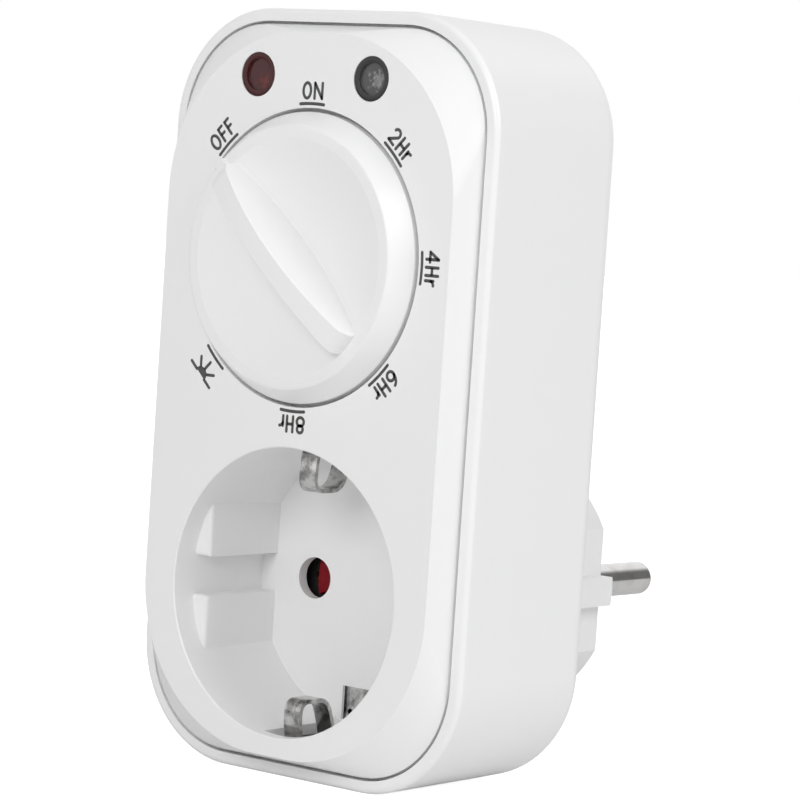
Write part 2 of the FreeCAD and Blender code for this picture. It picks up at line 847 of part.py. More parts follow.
def make_detent_spring():
    y = switch_front_y + switch_cover_thickness + rotor_gap + rotor_thickness / 2
    start = ball_x() + ball_radius - 0.1
    end = switch_radius + barrel_length - barrel_end_wall - spring_wire - ball_gap
    return coil(spring_radius, spring_wire, spring_turns, end - start, V(start, y, dial_height),
                V(1, 0, 0), V(0, 1, 0))


def make_window(x):
    radius = window_radius - lens_gap
    front = face_y + lens_setback
    back = inner_face_y + lens_flange_thickness
    lens = rod(radius, front, back, x, window_height)
    lens = lens.fuse(rod(radius + lens_flange, inner_face_y, back, x, window_height))
    return lens.cut(rod(lens_dish_radius, front - 1, front + lens_dish_depth, x, window_height))


def leads(x, z, y0, y1):
    return [rod(lead_radius, y0, y1, x + s * lead_pitch, z) for s in (1, -1)]


def make_status_led():
    x = -window_offset
    front = inner_face_y + lens_flange_thickness + led_gap
    dome = Part.makeSphere(led_radius, V(x, front + led_radius, window_height))
    body = rod(led_radius, front + led_radius, front + led_length, x, window_height)
    foot_y = front + led_length
    foot = rod(led_radius + led_foot_lip, foot_y, foot_y + led_foot_thickness, x, window_height)
    return join([dome, body, foot] + leads(x, window_height, foot_y, board_back_y + lead_end))


def make_light_sensor():
    x = window_offset
    front = inner_face_y + lens_flange_thickness + led_gap
    body = rod(sensor_radius, front, front + sensor_thickness, x, window_height)
    root_y = front + sensor_thickness - lead_root
    return join([body] + leads(x, window_height, root_y, board_back_y + lead_end))


def make_control_board():
    plate = box(-board_half_width, board_half_width, board_front_y, board_back_y, board_bottom, board_top)
    tools = []
    for s in (1, -1):
        x0 = min(s * board_half_width, s * (board_half_width - board_corner_cut))
        x1 = max(s * board_half_width, s * (board_half_width - board_corner_cut))
        tools.append(box(x0 - 1, x1 + 1, board_front_y - 1, board_back_y + 1,
                         board_top - board_corner_cut - board_corner_drop, board_top + 1))
    for x, z in post_places():
        tools.append(rod(board_screw_radius + hole_clearance, board_front_y - 1, board_back_y + 1, x, z))
    for a in step_angles():
        x = contact_ring * math.cos(a)
        z = dial_height + contact_ring * math.sin(a)
        tools.append(rod(contact_pin_radius + hole_clearance, board_front_y - 1, board_back_y + 1, x, z))
    pivot_hole = shaft_pivot_radius + shaft_pivot_room
    tools.append(rod(pivot_hole, board_front_y - 1, board_back_y + 1, 0, dial_height))
    for side in (1, -1):
        for s in (1, -1):
            x = side * window_offset + s * lead_pitch
            tools.append(rod(lead_radius + hole_clearance, board_front_y - 1, board_back_y + 1,
                             x, window_height))
    return cut(plate, tools)


def make_board_screws():
    screws = []
    for x, z in post_places():
        head = rod(board_screw_head, board_back_y, board_back_y + board_screw_head_height, x, z)
        shank = rod(board_screw_radius, board_back_y - board_screw_length, board_back_y, x, z)
        top_y = board_back_y + board_screw_head_height
        slot = box(x - board_screw_head - 1, x + board_screw_head + 1, top_y - board_slot_depth, top_y + 1,
                   z - board_slot_half_width, z + board_slot_half_width)
        screws.append(head.fuse(shank).cut(slot))
    return screws


def relay_box():
    x0 = relay_x - relay_width / 2
    z0 = relay_z - relay_breadth / 2
    return x0, x0 + relay_width, z0, z0 + relay_breadth


def relay_axis():
    # The coil lies along X in the lower part of the relay.
    y = board_back_y + relay_base_height + bobbin_flange + bobbin_seat_gap
    x0 = relay_x - relay_width / 2 + relay_wall + coil_end_gap
    return x0, y


def make_relay_base():
    x0, x1, z0, z1 = relay_box()
    gap = relay_wall + relay_base_gap
    base = box(x0 + gap, x1 - gap, board_back_y, board_back_y + relay_base_height, z0 + gap, z1 - gap)
    return base


def make_relay_cover():
    x0, x1, z0, z1 = relay_box()
    w = relay_wall
    y1 = board_back_y + relay_height
    shell = box(x0, x1, board_back_y, y1, z0, z1)
    return shell.cut(box(x0 + w, x1 - w, board_back_y - 1, y1 - w, z0 + w, z1 - w))


def make_relay_bobbin():
    x0, y = relay_axis()
    x1 = x0 + bobbin_length
    tube_radius = core_radius + bobbin_tube_wall
    tube_part = Part.makeCylinder(tube_radius, bobbin_length, V(x0, y, relay_z), V(1, 0, 0))
    left = Part.makeCylinder(bobbin_flange, bobbin_cheek, V(x0, y, relay_z), V(1, 0, 0))
    right = Part.makeCylinder(bobbin_flange, bobbin_cheek, V(x1 - bobbin_cheek, y, relay_z), V(1, 0, 0))
    foot_y = board_back_y + relay_base_height
    w = bobbin_foot_half_width
    foot = box(x0, x1, foot_y, y - tube_radius + bobbin_foot_lap, relay_z - w, relay_z + w)
    bobbin = join([tube_part, left, right, foot])
    return bobbin.cut(Part.makeCylinder(core_radius, bobbin_length + 2, V(x0 - 1, y, relay_z), V(1, 0, 0)))


def make_relay_coil():
    x0, y = relay_axis()
    a = x0 + bobbin_cheek
    length = bobbin_length - 2 * bobbin_cheek
    w = bobbin_foot_half_width
    winding = Part.makeCylinder(bobbin_flange - winding_setback, length, V(a, y, relay_z), V(1, 0, 0))
    tube_radius = core_radius + bobbin_tube_wall
    inner = Part.makeCylinder(tube_radius, length + 2, V(a - 1, y, relay_z), V(1, 0, 0))
    foot_top = y - tube_radius + bobbin_foot_lap
    foot = box(a - 1, a + length + 1, board_back_y, foot_top, relay_z - w, relay_z + w)
    return winding.cut(inner).cut(foot)


def make_relay_core():
    x0, y = relay_axis()
    shank = Part.makeCylinder(core_radius, bobbin_length + pole_thickness, V(x0, y, relay_z), V(1, 0, 0))
    pole = Part.makeCylinder(core_radius + pole_lip, pole_thickness, V(x0 + bobbin_length, y, relay_z),
                             V(1, 0, 0))
    return shank.fuse(pole)


def armature_hinge():
    x0, y = relay_axis()
    hinge_x = x0 + bobbin_length + pole_thickness + armature_lift
    return hinge_x, y + bobbin_flange + yoke_gap + yoke_thickness


def make_relay_yoke():
    x0, y = relay_axis()
    w = yoke_half_width
    hinge_x, hinge_y = armature_hinge()
    end_plate = box(x0 - yoke_thickness, x0, y - yoke_drop, hinge_y, relay_z - w, relay_z + w)
    top_y = hinge_y - yoke_thickness
    top_plate = box(x0 - yoke_thickness, hinge_x - hinge_gap, top_y, hinge_y, relay_z - w, relay_z + w)
    return end_plate.fuse(top_plate).removeSplitter()


def make_relay_armature():
    y = relay_axis()[1]
    hinge_x, hinge_y = armature_hinge()
    end = y - contact_drop + contact_button_radius + hole_clearance
    w = armature_half_width
    return box(hinge_x, hinge_x + armature_thickness, end, hinge_y, relay_z - w, relay_z + w)


def make_relay_moving_contact():
    y = relay_axis()[1]
    hinge_x, hinge_y = armature_hinge()
    a = hinge_x + armature_thickness
    end = y - contact_drop - contact_button_radius
    w = leaf_half_width
    leaf = box(a, a + contact_leaf_thickness, end, hinge_y - leaf_setback, relay_z - w, relay_z + w)
    button = Part.makeCylinder(contact_button_radius, contact_button_thickness,
                               V(a - contact_button_thickness, y - contact_drop, relay_z), V(1, 0, 0))
    return leaf.fuse(button)


def make_relay_fixed_contact():
    y = relay_axis()[1]
    hinge_x, hinge_y = armature_hinge()
    arm = hinge_y - y + contact_drop + contact_button_radius
    travel = arm * math.sin(math.radians(armature_turn)) + contact_spare_gap
    face = hinge_x + armature_thickness - contact_button_thickness - travel
    t = fixed_button_thickness
    button = Part.makeCylinder(contact_button_radius, t, V(face - t, y - contact_drop, relay_z), V(1, 0, 0))
    w = contact_post_half_width
    back_x = face - hole_clearance - contact_post_thickness
    post = box(back_x, back_x + contact_post_thickness, board_back_y + relay_base_height,
               y - contact_drop + contact_post_lap, relay_z - w, relay_z + w)
    return button.fuse(post)


def make_dropper_capacitor():
    width, height, breadth = dropper_size
    x, z = dropper_place
    body = box(x - width / 2, x + width / 2, board_back_y, board_back_y + height,
               z - breadth / 2, z + breadth / 2)
    return body.makeFillet(0.6, body.Edges)


def make_smoothing_capacitor():
    x, z = smoother_place
    can = rod(smoother_radius, board_back_y, board_back_y + smoother_length, x, z)
    groove = rod(smoother_radius + 1, board_back_y + 1.4, board_back_y + 2.0, x, z)
    groove = groove.cut(rod(smoother_radius - 0.3, board_back_y + 1, board_back_y + 3, x, z))
    return can.cut(groove)


def make_fuse():
    x, z = fuse_place
    y = board_back_y + fuse_radius
    body = Part.makeCylinder(fuse_radius, fuse_length, V(x - fuse_length / 2, y, z), V(1, 0, 0))
    legs = []
    for s in (1, -1):
        legs.append(rod(stout_lead_radius, board_back_y, y, x + s * (fuse_length / 2 - 2 * lead_radius), z))
    return join([body] + legs)


def make_varistor():
    x, z = varistor_place
    y = board_back_y + varistor_radius + 0.4
    disc = Part.makeCylinder(varistor_radius, varistor_thickness,
                             V(x, y, z - varistor_thickness / 2), V(0, 0, 1))
    legs = [rod(stout_lead_radius, board_back_y, y, x + s * 2 * lead_pitch, z) for s in (1, -1)]
    return join([disc] + legs)


def make_microcontroller():
    length, height, breadth = chip_size
    x, z = chip_place
    body = box(x - length / 2, x + length / 2, board_back_y + 0.5, board_back_y + 0.5 + height,
               z - breadth / 2, z + breadth / 2)
    notch = rod(0.8, board_back_y + height, board_back_y + height + 2, x - length / 2, z)
    pieces = [body.cut(notch)]
    for row in (1, -1):
        for i in range(chip_legs):
            leg_x = x + (i - (chip_legs - 1) / 2) * chip_leg_pitch
            z0 = z + row * (breadth / 2 + 0.3) - 0.3
            pieces.append(box(leg_x - 0.3, leg_x + 0.3, board_back_y, board_back_y + 2.0, z0, z0 + 0.6))
    return join(pieces)


def lying_parts(count, radius, length, place, pitch):
    # Small round components that lie along X with their bodies on the board.
    pieces = []
    x, z = place
    for i in range(count):
        row = z + i * pitch
        body = Part.makeCylinder(radius, length, V(x - length / 2, board_back_y + radius, row), V(1, 0, 0))
        legs = []
        for s in (1, -1):
            out = x + s * (length / 2 + 1.0)
            near = min(out, x)
            far = max(out, x)
            y = board_back_y + radius
            bar = box(near, far, y - 0.2, y + 0.2, row - 0.2, row + 0.2)
            drop = box(out - 0.2, out + 0.2, board_back_y, y + 0.2, row - 0.2, row + 0.2)
            legs += [bar, drop]
        pieces.append(join([body] + legs))
    return pieces


def make_diodes():
    return lying_parts(diode_count, diode_radius, diode_length, diode_place, diode_pitch)


def make_resistors():
    return lying_parts(resistor_count, resistor_radius, resistor_length, resistor_place, resistor_pitch)


def make_driver_transistor():
    x, z = transistor_place
    y0 = board_back_y + 2.0
    body = rod(transistor_radius, y0, y0 + transistor_height, x, z)
    body = body.cut(box(x - 4, x + 4, y0 - 1, y0 + 9, z + 1.3, z + 5))
    legs = [rod(lead_radius, board_back_y, y0 + 0.5, x + s * lead_pitch, z) for s in (1, 0, -1)]
    return join([body] + legs)


def make_pin(side):
    x = side * pin_x
    tip = plug_length + pin_length
    body = rod(pin_radius, plug_inner_y, tip, x, 0)
    body = round_edges(body, pin_tip_round, lies_at(tip))
    shoulder = rod(pin_shoulder_radius, plug_inner_y, plug_length + pin_shoulder_proud, x, 0)
    flange_y = plug_inner_y - pin_flange_thickness
    flange = rod(pin_flange_radius, flange_y, plug_inner_y, x, 0)
    tail = rod(pin_tail_radius, flange_y - pin_tail_length, flange_y, x, 0)
    return join([body, shoulder, flange, tail])


def make_pin_retainer():
    y1 = plug_inner_y - pin_flange_thickness
    y0 = y1 - retainer_thickness
    radius = plug_radius - plug_side_wall - strap_groove_depth + retainer_lap - retainer_gap
    half = plug_flat - plug_side_wall - retainer_gap
    plate = rod(radius, y0, y1).common(box(-half, half, y0, y1, -radius, radius))
    ring = plate.cut(rod(radius - retainer_rim, y0 - 1, y1 + 1))
    w = retainer_bridge_half
    ring = ring.fuse(box(-half, -half + retainer_rim, y0, y1, -w, w))
    ring = ring.fuse(box(half - retainer_rim, half, y0, y1, -w, w))
    plate = plate.cut(rod(pin_tail_radius + pin_tail_gap, y0 - 1, y1 + 1, pin_x, 0))
    plate = plate.cut(rod(pin_tail_radius + pin_tail_gap, y0 - 1, y1 + 1, -pin_x, 0))
    spacer = ring.copy()
    spacer.translate(V(0, retainer_thickness, 0))
    return plate.fuse(spacer.common(rod(radius, y0, plug_inner_y))).removeSplitter()


def make_receptacle(side):
    x = side * pin_x
    y0 = carrier_y + 0.4
    y1 = y0 + receptacle_length
    sleeve = rod(receptacle_radius, y0, y1, x, 0)
    sleeve = sleeve.cut(rod(receptacle_bore, y0 - 1, y1 - 1.0, x, 0))
    collar_y = carrier_y + carrier_thickness
    sleeve = sleeve.fuse(rod(receptacle_radius + receptacle_collar, collar_y, collar_y + 1.0, x, 0).cut(
        rod(receptacle_bore, collar_y - 1, collar_y + 2, x, 0)))
    tab_y = collar_y + solder_tab_offset
    top = receptacle_radius + solder_tab_height
    sleeve = sleeve.fuse(box(x - 1, x + 1, tab_y - solder_tab_half, tab_y + solder_tab_half,
                             receptacle_radius - 0.4, top))
    slot_end = collar_y - 0.6
    sleeve = sleeve.cut(box(x - 4, x + 4, y0 - 1, slot_end, -receptacle_slot / 2, receptacle_slot / 2))
    return sleeve.cut(box(x - receptacle_slot / 2, x + receptacle_slot / 2, y0 - 1, slot_end, -4, 4))


def make_contact_carrier():
    y1 = carrier_y + carrier_thickness
    block = box(-carrier_half_width, carrier_half_width, carrier_y, y1,
                -carrier_half_height, carrier_half_height)
    ring = rod(well_radius_out, floor_back_y, carrier_y + carrier_plate)
    ring = ring.cut(rod(well_radius_out - carrier_ring, floor_back_y - 1, carrier_y + 3))
    plate = rod(well_radius_out, carrier_y, carrier_y + carrier_plate)
    feet = [rod(carrier_foot_radius, carrier_y, -case_back_wall, s * carrier_foot_x, 0) for s in (1, -1)]
    strap_room = strap_half_width + strap_room_gap
    hollow = []
    for side in (1, -1):
        near = min(side * (strap_plug_run - 5.0), side * 30)
        far = max(side * (strap_plug_run - 5.0), side * 30)
        hollow.append(box(-strap_room, strap_room, floor_back_y - 1, y1 + 1, near, far))
        hollow.append(rod(receptacle_radius + 0.05, carrier_y - 1, y1 + 1, side * pin_x, 0))
    carrier = join([block, plate, ring] + feet)
    spring_room = rod(shutter_spring_radius + shutter_spring_wire + 0.4, carrier_y - 1, carrier_y + 3.6)
    hollow.append(spring_room)
    for x, z in screw_places():
        hollow.append(rod(well_radius + 0.3, floor_back_y - 1, y1, x, z))
    return cut(carrier, hollow).removeSplitter()


def shutter_notch(side):
    # The sector outside a lobe, from the pin hole at rest round to the hole that a plug turns to it.
    spread = math.degrees(math.asin((pin_hole_radius + shutter_hole_gap) / shutter_lobe_radius))
    centre = V(0, shutter_y - 1, 0)
    corners = [centre]
    for turn in (-spread, shutter_turn / 2, shutter_turn + spread):
        a = math.radians(turn)
        corners.append(centre + V(math.cos(a), 0, math.sin(a)) * (side * 2 * shutter_radius))
    sector = Part.Face(Part.makePolygon(corners + [centre])).extrude(V(0, shutter_thickness + 2, 0))
    return sector.cut(rod(shutter_lobe_radius, shutter_y - 2, shutter_y + shutter_thickness + 2))


def make_safety_shutter():
    y1 = shutter_y + shutter_thickness
    plate = rod(shutter_radius, shutter_y, y1)
    plate = plate.cut(rod(shutter_stud_radius + shutter_stud_fit, shutter_y - 1, y1 + 1))
    a = math.radians(shutter_turn)
    for side in (1, -1):
        x = side * pin_x * math.cos(a)
        z = side * pin_x * math.sin(a)
        plate = plate.cut(rod(pin_hole_radius + shutter_hole_gap, shutter_y - 1, y1 + 1, x, z))
        plate = plate.cut(shutter_notch(side))
    for side in (1, -1):
        near = min(side * (shutter_radius - 2.4), side * (shutter_radius + 1))
        far = max(side * (shutter_radius - 2.4), side * (shutter_radius + 1))
        plate = plate.cut(box(-shutter_radius, shutter_radius, shutter_y - 1, y1 + 1, near, far))
    return plate


def make_shutter_spring():
    length = 2.6
    start = carrier_y + shutter_spring_wire + 0.25
    return coil(shutter_spring_radius, shutter_spring_wire, shutter_spring_turns, length,
                V(0, start, 0), V(0, 1, 0), V(1, 0, 0))


def make_earth_strap(side, reach):
    # The strap follows one line in a plane across X: clip loop, run along the well, step in, plug side.
    front = face_y + clip_front
    back = face_y + clip_back
    t = strap_thickness
    points = [
        V(0, back, strap_run - strap_tip_lap),
        V(0, back - clip_lean * 0.3, reach + clip_leg),
        V(0, back - clip_lean, reach),
        V(0, front, reach),
        V(0, front, reach + clip_leg),
        V(0, front + clip_lean / 2, strap_run),
        V(0, strap_tab_y, strap_run),
        V(0, strap_tab_y, window_inner),
        V(0, floor_back_y + strap_step_back, strap_plug_run),
        V(0, strap_tail, strap_plug_run),
    ]
    points = [V(p.x, p.y, side * p.z) for p in points]
    wire = rounded_route(points, strap_share, (strap_corner,))[0]
    centre = points[0]
    into = (points[1] - points[0]).normalize()
    across = into.cross(V(1, 0, 0)).normalize()
    h = strap_half_width
    corners = []
    for sx, sa in ((-1, -1), (1, -1), (1, 1), (-1, 1)):
        corners.append(centre + V(sx * h, 0, 0) + across * (sa * t / 2))
    ribbon = wire.makePipeShell([Part.makePolygon(corners + [corners[0]])], True, False)
    near = min(side * (window_inner - strap_tab_lap), side * (window_outer + strap_tab_lap))
    far = max(side * (window_inner - strap_tab_lap), side * (window_outer + strap_tab_lap))
    w = strap_tab_half_width
    tab = box(-w, w, strap_tab_y - t / 2, strap_tab_y + t / 2, near, far)
    hole_z = side * (window_outer - strap_hole_inset)
    hole = rod(strap_hole_radius, strap_tab_y - 1, strap_tab_y + 1, strap_hole_x, hole_z)
    return ribbon.fuse(tab).cut(hole)


def make_earth_link():
    y0 = carrier_y + carrier_thickness + 0.1
    top = strap_plug_run - strap_thickness / 2
    return box(-link_half_width, link_half_width, y0, y0 + link_thickness, -top, top)


def make_neutral_link():
    x = -pin_x
    y0 = carrier_y + 0.4 + receptacle_length
    y1 = plug_inner_y - pin_flange_thickness - pin_tail_length
    return box(x - link_bar_half_width, x + link_bar_half_width, y0, y1,
               -link_bar_half_thickness, link_bar_half_thickness)


def make_wire(name, points):
    wire, radii = rounded_route([V(*p) for p in points])
    print(name, "arc radii", radii)
    start = V(*points[0])
    return tube(wire, wire_radius, start, V(*points[1]) - start)


def line_route():
    tail_y = plug_inner_y - pin_flange_thickness - pin_tail_length
    return [
        (pin_x, tail_y, 0.0),
        (pin_x, tail_y - 2.6, 0.0),
        (8.8, 6.4, 4.8),
        (6.8, 1.6, 9.6),
        (6.0, -4.4, 13.2),
        (5.8, -6.7, 19.0),
        (5.8, -9.4, 25.4),
        (6.0, board_back_y + 4.0, 28.2),
        (6.0, board_back_y, 28.2),
    ]


def load_route():
    top = receptacle_radius + solder_tab_height
    tab_y = carrier_y + carrier_thickness + solder_tab_offset
    return [
        (pin_x, tab_y, top),
        (pin_x, tab_y, top + 3.4),
        (10.0, tab_y - 3.4, 12.0),
        (11.4, tab_y - 6.0, 18.6),
        (12.4, tab_y - 9.6, 25.4),
        (12.4, board_back_y + 4.0, 29.0),
        (12.4, board_back_y, 29.0),
    ]


def neutral_route():
    y0 = carrier_y + 0.4 + receptacle_length
    mid = (y0 + plug_inner_y - pin_flange_thickness - pin_tail_length) / 2
    return [
        (-pin_x, mid, link_bar_half_thickness),
        (-pin_x, mid, 4.6),
        (-8.2, 2.6, 9.4),
        (-7.0, -4.0, 13.0),
        (-6.8, -6.7, 19.0),
        (-6.8, -9.4, 25.4),
        (-7.0, board_back_y + 4.0, 28.2),
        (-7.0, board_back_y, 28.2),
    ]


def save(name, shape):
    solids = shape if isinstance(shape, list) else [shape]
    found = []
    for item in solids:
        found += item.Solids
    whole = found[0] if len(found) == 1 else Part.makeCompound(found)
    whole.exportStep("parts/" + name + ".step")
    volume = sum(s.Volume for s in found)
    print(name, len(found), "solids", round(volume, 2), "valid", all(s.isValid() for s in found))


save("front_cover", make_front_cover())
save("rear_case", make_rear_case())
save("case_screws", make_case_screws())
save("dial_knob", make_dial_knob())
save("switch_shaft", make_switch_shaft())
save("switch_rotor", make_switch_rotor())
save("switch_wiper", make_switch_wiper())
save("switch_housing", make_switch_housing())
save("switch_cover", make_switch_cover())
save("switch_contacts", make_switch_contacts())
save("detent_ball", make_detent_ball())
save("detent_spring", make_detent_spring())
save("status_lens", make_window(-window_offset))
save("sensor_window", make_window(window_offset))
save("status_led", make_status_led())
save("light_sensor", make_light_sensor())
save("control_board", make_control_board())
save("board_screws", make_board_screws())
save("relay_base", make_relay_base())
save("relay_cover", make_relay_cover())
save("relay_bobbin", make_relay_bobbin())
save("relay_coil", make_relay_coil())
save("relay_core", make_relay_core())
save("relay_yoke", make_relay_yoke())
save("relay_armature", make_relay_armature())
save("relay_moving_contact", make_relay_moving_contact())
save("relay_fixed_contact", make_relay_fixed_contact())
save("dropper_capacitor", make_dropper_capacitor())
save("smoothing_capacitor", make_smoothing_capacitor())
save("fuse", make_fuse())
save("varistor", make_varistor())
save("microcontroller", make_microcontroller())
save("diodes", make_diodes())
save("resistors", make_resistors())
save("driver_transistor", make_driver_transistor())
save("line_pin", make_pin(1))
save("neutral_pin", make_pin(-1))
save("pin_retainer", make_pin_retainer())
save("line_receptacle", make_receptacle(1))
save("neutral_receptacle", make_receptacle(-1))
save("contact_carrier", make_contact_carrier())
save("safety_shutter", make_safety_shutter())
save("shutter_spring", make_shutter_spring())
save("earth_strap_upper", make_earth_strap(1, upper_clip_reach))
save("earth_strap_lower", make_earth_strap(-1, lower_clip_reach))
save("earth_link", make_earth_link())
save("neutral_link", make_neutral_link())
save("line_wire", make_wire("line_wire", line_route()))
save("load_wire", make_wire("load_wire", load_route()))
save("neutral_wire", make_wire("neutral_wire", neutral_route()))
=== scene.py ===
import json
import math

import bmesh
import bpy
from mathutils import Matrix, Vector


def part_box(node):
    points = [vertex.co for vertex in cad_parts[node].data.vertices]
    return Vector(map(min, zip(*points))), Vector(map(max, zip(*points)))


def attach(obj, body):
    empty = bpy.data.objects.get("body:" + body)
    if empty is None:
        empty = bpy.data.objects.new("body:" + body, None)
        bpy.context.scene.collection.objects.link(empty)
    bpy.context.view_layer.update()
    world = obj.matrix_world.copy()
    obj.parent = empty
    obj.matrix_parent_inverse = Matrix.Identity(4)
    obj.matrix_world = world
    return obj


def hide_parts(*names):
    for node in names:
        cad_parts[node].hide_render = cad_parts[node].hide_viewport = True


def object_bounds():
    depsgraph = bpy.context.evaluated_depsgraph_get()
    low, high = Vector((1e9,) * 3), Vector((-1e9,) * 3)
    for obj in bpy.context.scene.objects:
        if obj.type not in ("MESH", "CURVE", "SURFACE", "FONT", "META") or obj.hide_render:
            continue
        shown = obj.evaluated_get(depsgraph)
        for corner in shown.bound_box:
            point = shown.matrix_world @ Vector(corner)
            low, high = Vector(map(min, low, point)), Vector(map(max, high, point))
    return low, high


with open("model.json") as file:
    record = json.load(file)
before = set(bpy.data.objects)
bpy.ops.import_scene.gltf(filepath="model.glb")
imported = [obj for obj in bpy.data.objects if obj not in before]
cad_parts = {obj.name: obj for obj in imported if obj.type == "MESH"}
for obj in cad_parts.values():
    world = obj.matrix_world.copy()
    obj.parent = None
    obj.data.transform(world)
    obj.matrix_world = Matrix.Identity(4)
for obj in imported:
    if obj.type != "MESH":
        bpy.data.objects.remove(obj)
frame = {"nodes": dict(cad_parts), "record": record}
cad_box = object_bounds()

# Rear case: the deep white shell with the round plug on its back.
# It is injection moulded in one piece, satin outside, and its outer edges are softly rounded.
# The plug's flats, its tongues and the grooves for the earth straps belong to the same moulding.
MM = 0.001
BODY = {}
for body, names in frame["record"]["behaviour"]["bodies"].items():
    for name in names:
        BODY[name] = body


def add(tree, kind, sockets=None, **settings):
    # A new node; each named socket is either linked or given a fixed value.
    made = tree.nodes.new(kind)
    for name, value in settings.items():
        setattr(made, name, value)
    for name, value in (sockets or {}).items():
        if isinstance(value, bpy.types.NodeSocket):
            tree.links.new(value, made.inputs[name])
        else:
            made.inputs[name].default_value = value
    return made


def new_group(name, inputs, outputs):
    tree = bpy.data.node_groups.new(name, "ShaderNodeTree")
    for label, kind, value in inputs:
        socket = tree.interface.new_socket(name=label, in_out="INPUT", socket_type=kind)
        socket.default_value = value
    for label, kind in outputs:
        tree.interface.new_socket(name=label, in_out="OUTPUT", socket_type=kind)
    given = tree.nodes.new("NodeGroupInput").outputs
    results = tree.nodes.new("NodeGroupOutput").inputs
    return tree, given, results


def moulded_skin_group():
    # Flow clouds in the colour and gloss of a moulding, and the fine grain of its mould.
    tree, given, results = new_group("moulded skin", [
        ("Colour", "NodeSocketColor", (0.8, 0.8, 0.8, 1)),
        ("Shade", "NodeSocketColor", (0.7, 0.7, 0.7, 1)),
        ("Cloud size", "NodeSocketFloat", 9 * MM),
        ("Grain size", "NodeSocketFloat", 0.12 * MM),
        ("Glossy", "NodeSocketFloat", 0.28),
        ("Dull", "NodeSocketFloat", 0.38),
    ], [("Colour", "NodeSocketColor"), ("Roughness", "NodeSocketFloat"), ("Height", "NodeSocketFloat")])
    place = add(tree, "ShaderNodeTexCoord").outputs["Object"]
    per_cloud = add(tree, "ShaderNodeMath", operation="DIVIDE")
    per_cloud.inputs[0].default_value = 1
    tree.links.new(given["Cloud size"], per_cloud.inputs[1])
    per_grain = add(tree, "ShaderNodeMath", operation="DIVIDE")
    per_grain.inputs[0].default_value = 1
    tree.links.new(given["Grain size"], per_grain.inputs[1])
    cloud = add(tree, "ShaderNodeTexNoise", {"Vector": place, "Scale": per_cloud.outputs[0],
                                             "Detail": 3, "Roughness": 0.55})
    grain = add(tree, "ShaderNodeTexNoise", {"Vector": place, "Scale": per_grain.outputs[0],
                                             "Detail": 2, "Roughness": 0.6})
    tone = add(tree, "ShaderNodeMix", data_type="RGBA")
    tree.links.new(cloud.outputs["Fac"], tone.inputs[0])
    tree.links.new(given["Colour"], tone.inputs[6])
    tree.links.new(given["Shade"], tone.inputs[7])
    gloss = add(tree, "ShaderNodeMapRange", {"Value": cloud.outputs["Fac"], "From Min": 0.3,
                                             "From Max": 0.7, "To Min": given["Glossy"],
                                             "To Max": given["Dull"]})
    tree.links.new(tone.outputs[2], results["Colour"])
    tree.links.new(gloss.outputs[0], results["Roughness"])
    tree.links.new(grain.outputs["Fac"], results["Height"])
    return tree


moulded_skin = moulded_skin_group()


def shaded(name, group, values, depth, **fixed):
    # A principled finish whose colour, gloss and relief come from one of the groups.
    material = bpy.data.materials.new(name)
    material.use_nodes = True
    tree = material.node_tree
    shader = tree.nodes["Principled BSDF"]
    skin = add(tree, "ShaderNodeGroup", node_tree=group)
    for label, value in values.items():
        skin.inputs[label].default_value = value
    relief = add(tree, "ShaderNodeBump", {"Height": skin.outputs["Height"], "Distance": depth})
    tree.links.new(skin.outputs["Colour"], shader.inputs["Base Color"])
    tree.links.new(skin.outputs["Roughness"], shader.inputs["Roughness"])
    tree.links.new(relief.outputs["Normal"], shader.inputs["Normal"])
    for label, value in fixed.items():
        shader.inputs[label.replace("_", " ")].default_value = value
    return material


def grey(level, warmth=0.0):
    return (level + warmth, level, level - warmth, 1)


weld_distance = 0.002 * MM
flat_turn = math.radians(0.1)
rounding_rings = 3


def moulded(node, width, material, keep_angle=28, crisp_angle=180):
    # The piece's own shape with its loose triangles merged and its edges rounded by width.
    # Edges that turn more than crisp_angle and aren't rounded stay sharp to the eye.
    source = frame["nodes"][node]
    mesh = source.data.copy()
    shell = bmesh.new()
    shell.from_mesh(mesh)
    bmesh.ops.remove_doubles(shell, verts=shell.verts, dist=weld_distance)
    bmesh.ops.dissolve_limit(shell, angle_limit=flat_turn, verts=shell.verts, edges=shell.edges)
    bmesh.ops.triangulate(shell, faces=[face for face in shell.faces if len(face.verts) > 4])
    for face in shell.faces:
        face.smooth = True
    for edge in shell.edges:
        edge.smooth = edge.calc_face_angle(0) < math.radians(crisp_angle)
    shell.to_mesh(mesh)
    shell.free()
    piece = bpy.data.objects.new(node + "_moulded", mesh)
    bpy.context.scene.collection.objects.link(piece)
    rounding = piece.modifiers.new("rounding", "BEVEL")
    rounding.width = width
    rounding.segments = rounding_rings
    rounding.limit_method = "ANGLE"
    rounding.angle_limit = math.radians(keep_angle)
    flattening = piece.modifiers.new("flattening", "WEIGHTED_NORMAL")
    flattening.keep_sharp = True
    finished = piece.evaluated_get(bpy.context.evaluated_depsgraph_get())
    made = bpy.data.meshes.new_from_object(finished)
    piece.modifiers.clear()
    piece.data = made
    made.materials.clear()
    made.materials.append(material)
    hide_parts(node)
    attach(piece, BODY[node])
    return piece


case_white = shaded("case white", moulded_skin, {
    "Colour": grey(0.92), "Shade": grey(0.916), "Cloud size": 40 * MM, "Grain size": 0.14 * MM,
    "Glossy": 0.27, "Dull": 0.34}, 0.0012 * MM)
moulded("rear_case", 0.3 * MM, case_white)

# Front cover: the shallow bevelled front with the dial's opening and the socket's recess.
# It is moulded in the same white as the case and drops into its rim, which leaves a thin seam.
# The recess, its guides for a plug and the slots for the earth clips are moulded with it.
moulded("front_cover", 0.15 * MM, case_white)

